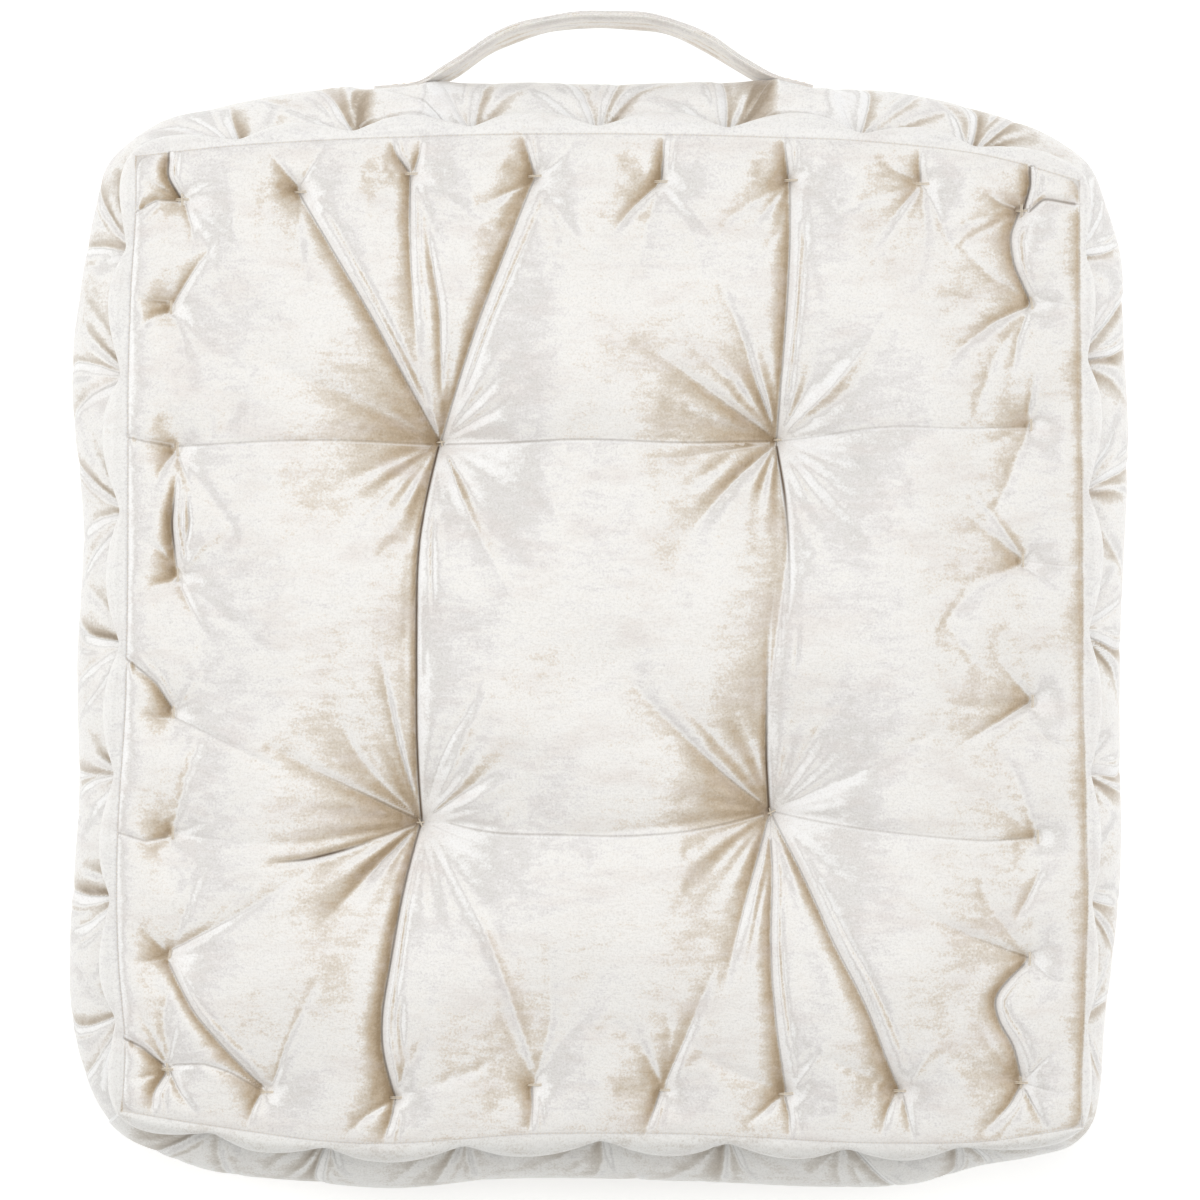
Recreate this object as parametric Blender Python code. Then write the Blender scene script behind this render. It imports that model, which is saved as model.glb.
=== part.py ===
"""Square floor pillow, tied through at four tufts, with a rolled mattress-stitched edge and a carry strap.

Frame: metres, +Z up. The origin is the middle of the flat underside. The face panel looks up, +Y is the side
that carries the strap. Cover and filling are one filled solid, and the strap is a second one.
"""

import bmesh
import bpy
import numpy as np

# Plan sizes of the body.
SEAM_WIDTH = 0.447  # face panel along X, seam to seam
SEAM_LENGTH = 0.468  # face panel along Y, seam to seam
BODY_WIDTH = 0.508  # across the bulge of the boxing
BODY_LENGTH = 0.533
SEAM_SQUARENESS = 24  # exponent of the rounded square that the seams follow
BULGE_SQUARENESS = 8  # the bulge has rounder corners

# Heights above the floor.
BACK_SEAM_Z = 0.014
FACE_SEAM_Z = 0.111
BACK_PRESS = 0.008  # how much further the back would bulge if the floor didn't press it flat

# Mattress stitching. Stations are the places of the eight stitches along each side.
STITCH_INSET = 0.025  # from the seam to a face stitch
STITCH_DEPTH = 0.011
STITCH_REACH = 0.012
STITCH_STATIONS = {
    "front": (-0.202, -0.155, -0.094, -0.030, 0.030, 0.088, 0.141, 0.198),
    "rear": (-0.196, -0.140, -0.088, -0.029, 0.029, 0.089, 0.151, 0.198),
    "left": (-0.203, -0.151, -0.093, -0.036, 0.028, 0.086, 0.153, 0.204),
    "right": (-0.208, -0.152, -0.094, -0.031, 0.034, 0.096, 0.155, 0.200),
}
EDGE_CUTS = 3  # divisions from the seam to the first stitch
GAP_CUTS = 4  # divisions between neighbouring stitches

# Section of the boxing between two stitches: share of its height from the back seam, and how far it stands
# outside the seam as a share of the full bulge.
BOXING_SECTION = (
    # height, outset
    (0.00, 0.00),
    (0.07, 0.34),
    (0.16, 0.50),
    (0.27, 0.48),
    (0.38, 0.84),
    (0.50, 1.00),
    (0.62, 0.84),
    (0.73, 0.48),
    (0.84, 0.50),
    (0.93, 0.34),
    (1.00, 0.00),
)
BOXING_STITCH_HEIGHTS = (0.27, 0.73)
BOXING_STITCH_DEPTH = 0.009
BOXING_STITCH_SPREAD = 0.10  # in shares of the boxing's height
BOXING_STITCH_REACH = 0.3  # along the side, in shares of the gap between stitches

# Section of a panel, from the seam inwards: the rolled edge, the stitched groove and the rise to the crown.
ROLL_SECTION = (
    # inwards, rise above the seam
    (0.000, 0.000),
    (0.004, 0.004),
    (0.010, 0.006),
    (0.018, 0.003),
    (0.025, 0.000),
    (0.036, 0.003),
    (0.055, 0.008),
    (0.085, 0.012),
    (0.130, 0.014),
)
BACK_PRESS_SECTION = ((STITCH_INSET, 0.0), (0.085, BACK_PRESS))

# Tufts, which are tied straight through to the back.
TUFTS = {
    # name: (x, y, depth)
    "rear_left": (-0.076, 0.091, 0.034),
    "rear_right": (0.084, 0.091, 0.033),
    "front_left": (-0.084, -0.089, 0.035),
    "front_right": (0.079, -0.085, 0.033),
}
TUFT_REACH = 0.024
TUFT_DRAW = 0.060  # how far round a tuft the cloth is drawn towards it
BACK_TUFT_DEPTH = 0.022

# Main folds of the face, as soft troughs from a tuft to a face stitch or to another tuft.
FOLDS = (
    # from, to, depth, half width
    ("rear_left", ("rear", 1), 0.0050, 0.008),
    ("rear_left", ("rear", 2), 0.0050, 0.008),
    ("rear_left", ("rear", 3), 0.0050, 0.008),
    ("rear_left", ("left", 5), 0.0030, 0.007),
    ("rear_right", ("rear", 4), 0.0035, 0.009),
    ("rear_right", ("rear", 5), 0.0050, 0.008),
    ("rear_right", ("rear", 6), 0.0035, 0.009),
    ("rear_right", ("right", 5), 0.0030, 0.007),
    ("front_left", ("left", 3), 0.0040, 0.009),
    ("front_left", ("left", 2), 0.0035, 0.008),
    ("front_left", ("front", 2), 0.0060, 0.009),
    ("front_left", ("front", 3), 0.0030, 0.009),
    ("front_right", ("front", 4), 0.0035, 0.009),
    ("front_right", ("front", 5), 0.0050, 0.008),
    ("front_right", ("front", 6), 0.0055, 0.008),
    ("front_right", ("right", 2), 0.0030, 0.007),
    ("rear_left", "rear_right", 0.0030, 0.007),
    ("front_left", "front_right", 0.0030, 0.007),
    ("rear_left", "front_left", 0.0070, 0.009),
    ("rear_right", "front_right", 0.0060, 0.009),
)

# Carry strap, a flat folded strip that stands on edge over the middle of the rear boxing.
STRAP_WIDTH = 0.025  # along Z
STRAP_THICKNESS = 0.004
STRAP_HALF_SPAN = 0.084  # from the middle to where it lifts off the boxing
STRAP_TAB = 0.026  # length of each end that lies on the boxing
STRAP_RISE = 0.0285
STRAP_TURN = 0.004  # softness of the bend where it lifts off
STRAP_Z = 0.0625
STRAP_STATIONS = 44
STRAP_EDGE_RADIUS = 0.0012
SEAT_GAP = 0.0003  # between the strap's ends and the boxing

SIDE_CUTS = 2 * EDGE_CUTS + 7 * GAP_CUTS
BOXING_CUTS = 10
BOXING_EASE = 0.55  # how much closer the boxing's grid lines lie near the seams: 0 even, 1 as a cosine


def clear_scene():
    for obj in list(bpy.data.objects):
        bpy.data.objects.remove(obj, do_unlink=True)


def velvet(name, colour, roughness):
    """Pressed polyester velvet: pale, not metallic, with a soft sheen."""
    material = bpy.data.materials.new(name)
    material.use_nodes = True
    shader = material.node_tree.nodes["Principled BSDF"]
    shader.inputs["Base Color"].default_value = (*colour, 1.0)
    shader.inputs["Roughness"].default_value = roughness
    shader.inputs["Metallic"].default_value = 0.0
    shader.inputs["Sheen Weight"].default_value = 0.5
    return material


def stations(side, half):
    """The places of the grid lines along a side: seam, stitches, seam, with even divisions between them."""
    knots = np.array((-half, *STITCH_STATIONS[side], half))
    cuts = np.array((EDGE_CUTS, *[GAP_CUTS] * 7, EDGE_CUTS))
    knot_index = np.concatenate(([0], np.cumsum(cuts)))
    return np.interp(np.arange(SIDE_CUTS + 1), knot_index, knots)


def rounded_square(u, v, exponent):
    """How much to draw in the point (u, v) of a square so that the square's rim follows |u|^n + |v|^n = 1.

    Inside the square the share fades with the sixth power of the distance from the middle.
    """
    rim = np.maximum(np.maximum(np.abs(u), np.abs(v)), 1e-9)
    at_rim = (np.abs(u / rim) ** exponent + np.abs(v / rim) ** exponent) ** (-1 / exponent)
    return 1 + (at_rim - 1) * np.minimum(rim, 1) ** 6


def panel_plan(i, j):
    """Plan place of grid point (i, j) of a panel: straight grid lines through the stitches, then round corners."""
    front, rear = (stations(side, SEAM_WIDTH / 2) for side in ("front", "rear"))
    left, right = (stations(side, SEAM_LENGTH / 2) for side in ("left", "right"))
    across, along = i / SIDE_CUTS, j / SIDE_CUTS
    x = front[i] * (1 - along) + rear[i] * along
    y = left[j] * (1 - across) + right[j] * across
    draw_in = rounded_square(2 * x / SEAM_WIDTH, 2 * y / SEAM_LENGTH, SEAM_SQUARENESS)
    return x * draw_in, y * draw_in


def tuft_columns():
    """Grid index of each tuft, which lies between the third and the sixth stitch of every side."""
    near, far = EDGE_CUTS + 2 * GAP_CUTS, EDGE_CUTS + 5 * GAP_CUTS
    return {
        "rear_left": (near, far),
        "rear_right": (far, far),
        "front_left": (near, near),
        "front_right": (far, near),
    }


def drawn_to_tufts(x, y):
    """Moves panel points so that a grid point lies on each tuft, fading out as exp(-(r / TUFT_DRAW)^2)."""
    moved_x, moved_y = x.copy(), y.copy()
    for name, (i, j) in tuft_columns().items():
        grid_x, grid_y = (float(c[0]) for c in panel_plan(np.array([i]), np.array([j])))
        tuft_x, tuft_y, _ = TUFTS[name]
        share = np.exp(-((x - grid_x) ** 2 + (y - grid_y) ** 2) / TUFT_DRAW**2)
        moved_x += (tuft_x - grid_x) * share
        moved_y += (tuft_y - grid_y) * share
    return moved_x, moved_y


def face_stitches():
    """Plan places of the face stitches by side and number, an inset inside the seam."""
    x_in, y_in = SEAM_WIDTH / 2 - STITCH_INSET, SEAM_LENGTH / 2 - STITCH_INSET
    places = {}
    for n in range(8):
        places["front", n] = (STITCH_STATIONS["front"][n], -y_in)
        places["rear", n] = (STITCH_STATIONS["rear"][n], y_in)
        places["left", n] = (-x_in, STITCH_STATIONS["left"][n])
        places["right", n] = (x_in, STITCH_STATIONS["right"][n])
    return places


def distance_to_segment(x, y, start, end):
    """Plan distance of each point from the straight line between start and end."""
    dx, dy = end[0] - start[0], end[1] - start[1]
    along = ((x - start[0]) * dx + (y - start[1]) * dy) / (dx * dx + dy * dy)
    along = np.clip(along, 0, 1)
    return np.hypot(x - start[0] - along * dx, y - start[1] - along * dy)


def inside_seam(x, y):
    """Distance of each panel point from the nearest seam."""
    return np.maximum(0, np.minimum(SEAM_WIDTH / 2 - np.abs(x), SEAM_LENGTH / 2 - np.abs(y)))


def panel_relief(x, y, tuft_scale, with_folds):
    """Height of a panel above its seam: the rolled edge and crown, less tufts, stitches and folds."""
    rise = np.interp(inside_seam(x, y), *zip(*ROLL_SECTION))
    for tuft_x, tuft_y, depth in TUFTS.values():
        rise -= tuft_scale * depth * np.exp(-np.hypot(x - tuft_x, y - tuft_y) / TUFT_REACH)
    places = face_stitches()
    for stitch_x, stitch_y in places.values():
        rise -= STITCH_DEPTH * np.exp(-np.hypot(x - stitch_x, y - stitch_y) / STITCH_REACH)
    if with_folds:
        for start, end, depth, half_width in FOLDS:
            start_place = TUFTS[start][:2]
            end_place = TUFTS[end][:2] if end in TUFTS else places[end]
            away = distance_to_segment(x, y, start_place, end_place)
            rise -= depth * np.exp(-((away / half_width) ** 2))
    return rise


def face_points(i, j):
    x, y = drawn_to_tufts(*panel_plan(i, j))
    return x, y, FACE_SEAM_Z + panel_relief(x, y, 1.0, True)


def back_points(i, j):
    """The back is the face's plain twin, pressed flat where it lies on the floor."""
    x, y = drawn_to_tufts(*panel_plan(i, j))
    back_depth = BACK_TUFT_DEPTH / TUFTS["rear_left"][2]
    relief = panel_relief(x, y, back_depth, False)
    relief += np.interp(inside_seam(x, y), *zip(*BACK_PRESS_SECTION))
    return x, y, np.maximum(0.0, BACK_SEAM_Z - relief)


def boxing_pinch(i, j, height):
    """How far the boxing is pulled in by its stitches, which lie halfway between the face stitches."""
    along = np.where((i == 0) | (i == SIDE_CUTS), j, i)
    gaps = (along - EDGE_CUTS) / GAP_CUTS - 0.5
    from_stitch = np.abs(gaps - np.clip(np.round(gaps), 0, 6)) / BOXING_STITCH_REACH
    pinch = np.zeros(len(i))
    for stitch_height in BOXING_STITCH_HEIGHTS:
        across = (height - stitch_height) / BOXING_STITCH_SPREAD
        pinch += np.exp(-(from_stitch**2) - across**2)
    return BOXING_STITCH_DEPTH * pinch


def boxing_points(i, j, k):
    """Boxing: from the seam outline towards the bulge outline by the section's outset, less the pinch."""
    x, y = panel_plan(i, j)
    u, v = 2 * x / SEAM_WIDTH, 2 * y / SEAM_LENGTH
    draw_in = rounded_square(u, v, BULGE_SQUARENESS)
    height = k / BOXING_CUTS
    outset = np.interp(height, *zip(*BOXING_SECTION))
    pinched = 1 - boxing_pinch(i, j, height) / (BODY_WIDTH / 2)
    bulge_x, bulge_y = BODY_WIDTH / 2 * u * draw_in, BODY_LENGTH / 2 * v * draw_in
    rise = BOXING_EASE * (0.5 - 0.5 * np.cos(np.pi * height)) + (1 - BOXING_EASE) * height
    z = BACK_SEAM_Z + (FACE_SEAM_Z - BACK_SEAM_Z) * rise
    return (x + outset * (bulge_x - x)) * pinched, (y + outset * (bulge_y - y)) * pinched, z


def lattice_sides():
    """Grid indices of the six sides of a box lattice, each as a 2-D array of (i, j, k), turned to face out."""
    n, m = SIDE_CUTS, BOXING_CUTS
    a, b = np.meshgrid(np.arange(n + 1), np.arange(n + 1), indexing="ij")
    s, t = np.meshgrid(np.arange(n + 1), np.arange(m + 1), indexing="ij")
    return (
        np.stack((a, b, np.full_like(a, m)), -1),
        np.stack((b, a, np.full_like(a, 0)), -1),
        np.stack((s, np.full_like(s, 0), t), -1),
        np.stack((n - s, np.full_like(s, n), t), -1),
        np.stack((np.full_like(s, 0), n - s, t), -1),
        np.stack((np.full_like(s, n), s, t), -1),
    )


def build_cushion():
    """Face, boxing and back as one closed skin over the sides of a box lattice."""
    sides = lattice_sides()
    corners = []
    for side in sides:
        quads = (side[:-1, :-1], side[1:, :-1], side[1:, 1:], side[:-1, 1:])
        corners.append(np.stack([q.reshape(-1, 3) for q in quads], 1))
    lattice, index = np.unique(np.concatenate(corners).reshape(-1, 3), axis=0, return_inverse=True)
    i, j, k = lattice.T
    points = np.empty(lattice.shape)
    on_face, on_back = k == BOXING_CUTS, k == 0
    on_boxing = ~(on_face | on_back)
    points[on_face] = np.column_stack(face_points(i[on_face], j[on_face]))
    points[on_back] = np.column_stack(back_points(i[on_back], j[on_back]))
    points[on_boxing] = np.column_stack(boxing_points(i[on_boxing], j[on_boxing], k[on_boxing]))

    mesh = bpy.data.meshes.new("cushion")
    mesh.from_pydata(points.tolist(), [], index.reshape(-1, 4).tolist())
    skin = bmesh.new()
    skin.from_mesh(mesh)
    floor_edges = [e for e in skin.edges if max(v.co.z for v in e.verts) < 1e-7]
    floor_faces = [f for f in skin.faces if max(v.co.z for v in f.verts) < 1e-7]
    floor_verts = list({v for f in floor_faces for v in f.verts})
    bmesh.ops.dissolve_limit(skin, angle_limit=1e-4, verts=floor_verts, edges=floor_edges)
    bmesh.ops.recalc_face_normals(skin, faces=skin.faces)
    skin.to_mesh(mesh)
    skin.free()
    return mesh


def strap_line():
    """Middle line of the strap in plan: flat tabs, joined smoothly to a parabola of the given rise."""
    x = np.linspace(-1, 1, STRAP_STATIONS) * (STRAP_HALF_SPAN + STRAP_TAB)
    arch = STRAP_RISE * (1 - (x / STRAP_HALF_SPAN) ** 2)
    lift = STRAP_TURN * np.logaddexp(0, arch / STRAP_TURN)
    lift -= lift[0]
    return x, BODY_LENGTH / 2 + SEAT_GAP + STRAP_THICKNESS / 2 + lift


def build_strap():
    """A ribbon along the strap's middle line; Solidify gives its thickness and Bevel its soft edges."""
    x, y = strap_line()
    ribbon = bmesh.new()
    rows = []
    for edge in (-STRAP_WIDTH / 2, STRAP_WIDTH / 2):
        rows.append([ribbon.verts.new((px, py, STRAP_Z + edge)) for px, py in zip(x, y)])
    for n in range(STRAP_STATIONS - 1):
        ribbon.faces.new((rows[0][n], rows[0][n + 1], rows[1][n + 1], rows[1][n]))
    mesh = bpy.data.meshes.new("carry_strap")
    ribbon.to_mesh(mesh)
    ribbon.free()
    return mesh


def place(mesh, material):
    obj = bpy.data.objects.new(mesh.name, mesh)
    bpy.context.scene.collection.objects.link(obj)
    mesh.materials.append(material)
    mesh.shade_smooth()
    return obj


def main():
    clear_scene()
    cover = velvet("champagne_velvet", (0.83, 0.78, 0.71), 0.55)
    place(build_cushion(), cover)
    strap = place(build_strap(), cover)
    thickness = strap.modifiers.new("Thickness", "SOLIDIFY")
    thickness.thickness = STRAP_THICKNESS
    thickness.offset = 0.0
    soft_edges = strap.modifiers.new("Soft edges", "BEVEL")
    soft_edges.width = STRAP_EDGE_RADIUS
    soft_edges.segments = 1


main()
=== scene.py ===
"""A square floor pillow in champagne velvet: tufted face, rolled stitched edge and a folded carry strap.

The row frame has +Z up and +Y towards the strap. The cover is drawn in millimetres: its tables, folds and
grids, which build_cover turns to metres. Other lengths are in metres, unless a comment says millimetres.
"""

import bpy
import numpy as np
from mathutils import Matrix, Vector


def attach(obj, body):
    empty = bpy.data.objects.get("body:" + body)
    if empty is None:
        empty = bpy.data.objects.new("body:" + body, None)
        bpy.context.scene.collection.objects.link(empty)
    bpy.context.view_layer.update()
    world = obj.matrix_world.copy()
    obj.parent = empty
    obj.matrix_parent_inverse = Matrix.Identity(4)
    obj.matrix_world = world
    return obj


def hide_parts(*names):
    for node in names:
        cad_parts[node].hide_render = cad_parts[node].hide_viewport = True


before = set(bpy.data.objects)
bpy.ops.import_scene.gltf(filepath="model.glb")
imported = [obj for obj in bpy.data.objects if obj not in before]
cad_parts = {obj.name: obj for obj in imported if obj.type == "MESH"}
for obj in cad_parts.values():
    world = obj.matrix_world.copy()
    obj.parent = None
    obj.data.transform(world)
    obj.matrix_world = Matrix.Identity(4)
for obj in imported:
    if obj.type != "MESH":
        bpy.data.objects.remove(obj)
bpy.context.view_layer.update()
MM = 0.001

# In metres: heights of the seams, and the cloth of the boxing from seam to seam, over its roll and bulge.
BACK_SEAM_Z, FACE_SEAM_Z = 0.014, 0.111
BOXING_ARC = 0.140

# Grid of the cover. The settling runs on it. In the finished cover each of its cells is divided by FINER
# along a seam and across the face, and by FINER_DOWN down the boxing. The back stays as it is.
EDGE_CELLS = 8  # from a seam to the first stitch
GAP_CELLS = 20  # between neighbouring stitches
GAPS = 7  # on each side, between its eight stitches
BOXING_CELLS = 36
FINER, FINER_DOWN = 3, 2

# The four tables named AT_CROWN give places of the plan as they look from above, at the level of the crown.
# What lies lower looks nearer the middle of the view than it is, so its place is spread out from there, by 1
# and its drop over the camera's two metres: 14 mm to the seam and 62 mm to the bulge.
VIEW_MIDDLE_Y = 16.3  # in millimetres
SEAM_SPREAD, BULGE_SPREAD = 1.007, 1.031

# Mattress stitches of the face, in millimetres, each side from its left or front end.
STITCHES_AT_CROWN = {
    "front": ((-202, -203), (-155.5, -213.5), (-95.5, -216), (-30.5, -210), (30.5, -212.5), (87, -214.5),
              (140, -213), (197, -209.5)),
    "rear": ((-195, 203), (-140, 207), (-88, 215.5), (-30.5, 214), (29, 211.5), (89, 212.5),
             (150.5, 210.5), (197, 198)),
    "left": ((-202, -203), (-201, -150.5), (-199.5, -92.5), (-199, -36), (-197, 28), (-197.5, 86.5),
             (-200, 153), (-195, 203)),
    "right": ((197, -209.5), (200.5, -151.5), (204, -94), (202, -31), (197.5, 34.5), (201, 98),
              (201.5, 155), (197, 198)),
}

# Seam of the face, in millimetres: each side as it runs between its corners.
SEAM_AT_CROWN = {
    "front": ((-223.5, -222.5), (-183, -229), (-114, -237), (-27.5, -233), (33, -233), (137, -237),
              (180, -236), (225.5, -230)),
    "rear": ((-217, 223.5), (-169, 228.5), (-107, 232), (0, 234), (60, 233), (125, 230.5), (182, 223.5),
             (224, 212)),
    "left": ((-223.5, -222.5), (-222, -192), (-225, -153), (-225.5, -94), (-222, -36), (-220.5, 47),
             (-220.5, 112), (-219.5, 158), (-217, 199), (-217, 223.5)),
    "right": ((225.5, -230), (225, -210), (226, -172), (227.5, -120), (227, -85), (225.5, -29),
              (225, 35), (224.5, 97), (224, 160), (224, 212)),
}

# The widest line of the bulge, half way down the boxing, in millimetres, from the front left corner round.
BULGE_AT_CROWN = (
    (-247, -150), (-245.5, -180), (-241.5, -200), (-233.5, -220), (-222, -233.5), (-205, -242),
    (-180, -250), (-150, -254.5), (-100, -256.5), (-45, -254.5), (0, -254), (55, -256),
    (100, -258), (150, -255.5), (178, -248), (203, -243), (219, -238), (229, -227.5), (232.5, -213),
    (234.5, -190), (239.5, -150), (242, -100), (242.5, -50), (243.5, 0), (245.5, 50), (246, 100),
    (245, 150), (241.5, 180), (236, 200), (229.5, 218), (215, 230), (196, 239), (175, 246),
    (150, 251), (100, 256.5), (50, 258), (0, 257.5), (-50, 258.5), (-100, 257.5), (-150, 251.5),
    (-180, 245), (-203, 240), (-219.5, 230), (-229, 219), (-235, 200), (-240.5, 180),
    (-244, 150), (-245.5, 100), (-242.5, 50), (-243.5, 0), (-244, -50), (-245, -100),
)

TUFTS = {
    # place and depth, in millimetres
    "rear_left": (-75.5, 91, 27),
    "rear_right": (84, 92, 26),
    "front_left": (-85, -89, 28),
    "front_right": (81, -84, 26),
}
# In millimetres: how far the dips of tufts, stitches and seam reach.
TUFT_REACH = 26.0
TUFT_DRAW = 60.0  # how far round a tuft the grid is drawn towards it
STITCH_DEPTH, STITCH_REACH = 8.0, 9.0
SEAM_GROOVE_DEPTH, SEAM_GROOVE_REACH = 0.6, 1.2

# Uneven filling: size and height of its lumps in millimetres, and seed.
FACE_LUMPS = ((110, 1.15, 3), (42, 0.36, 4))
BOXING_LUMPS = (70, 0.8, 9)

# Fine gathers round a tuft: waves in a ring. Lengths are in millimetres, the bend in radians per millimetre.
RAY_TURNS = range(9, 24, 2)
RAY_LOW, RAY_HIGH = 0.1, 0.33
RAY_BEND = 0.004
RAY_RADIUS, RAY_SPREAD = 24, 22

# Fans of folds: how far they spread to each side in radians, then as in a star.
SOFT_GATHERS = (0.55, 3, 62, 1.3, 7.5)
BOXING_FANS = {
    "towards the seam": (1.0, 4, 25, 3.0, 2.8),
    "towards the bulge": (1.0, 4, 44, 6.5, 5.0),
}
# Stars of folds: count, then length, depth and half width in millimetres.
BACK_TUFT_STAR = (11, 55, 4.0, 4.0)
BACK_STITCH_STAR = (4, 20, 3.0, 3.0)
# The fold from each boxing stitch to the next, in millimetres: depth, half width, and how far it hangs.
LINK_DEPTH, LINK_WIDTH, LINK_SAG = 5.0, 4.5, 3.0

FACE_RELIEF, BACK_RELIEF = 1.3, 0.8  # scale the depth of all folds
OVER_EDGE_RELIEF, OVER_EDGE_REACH = 0.35, 0.09  # of the face's folds on the boxing, over a share of its cloth
SEAM_SHARPNESS, BOXING_SHARPNESS = 0.42, 0.75  # of creases, and how strongly their painted shade and highlight lines show
CREASE_REACH = 3.0  # how far a crease's sharpness reaches, in millimetres

# How much further than the face's section the back would bulge if the floor didn't press it flat, and from
# where inside its seam, over what run. All are in millimetres.
BACK_BULGE, BACK_BULGE_START, BACK_BULGE_RUN = 8, 25, 50
BACK_TUFT_DEPTH, BACK_TUFT_REACH = 24, 20

# Settling of the cover: pressure of the filling, steps, how far a point may move, in metres, and how far from
# a stitch the cloth is held, in millimetres.
FILLING_PRESSURE = 1.5
SETTLE_STEPS = 14
MOST_MOVE = 0.003
HELD_REACH = 2.2

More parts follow.
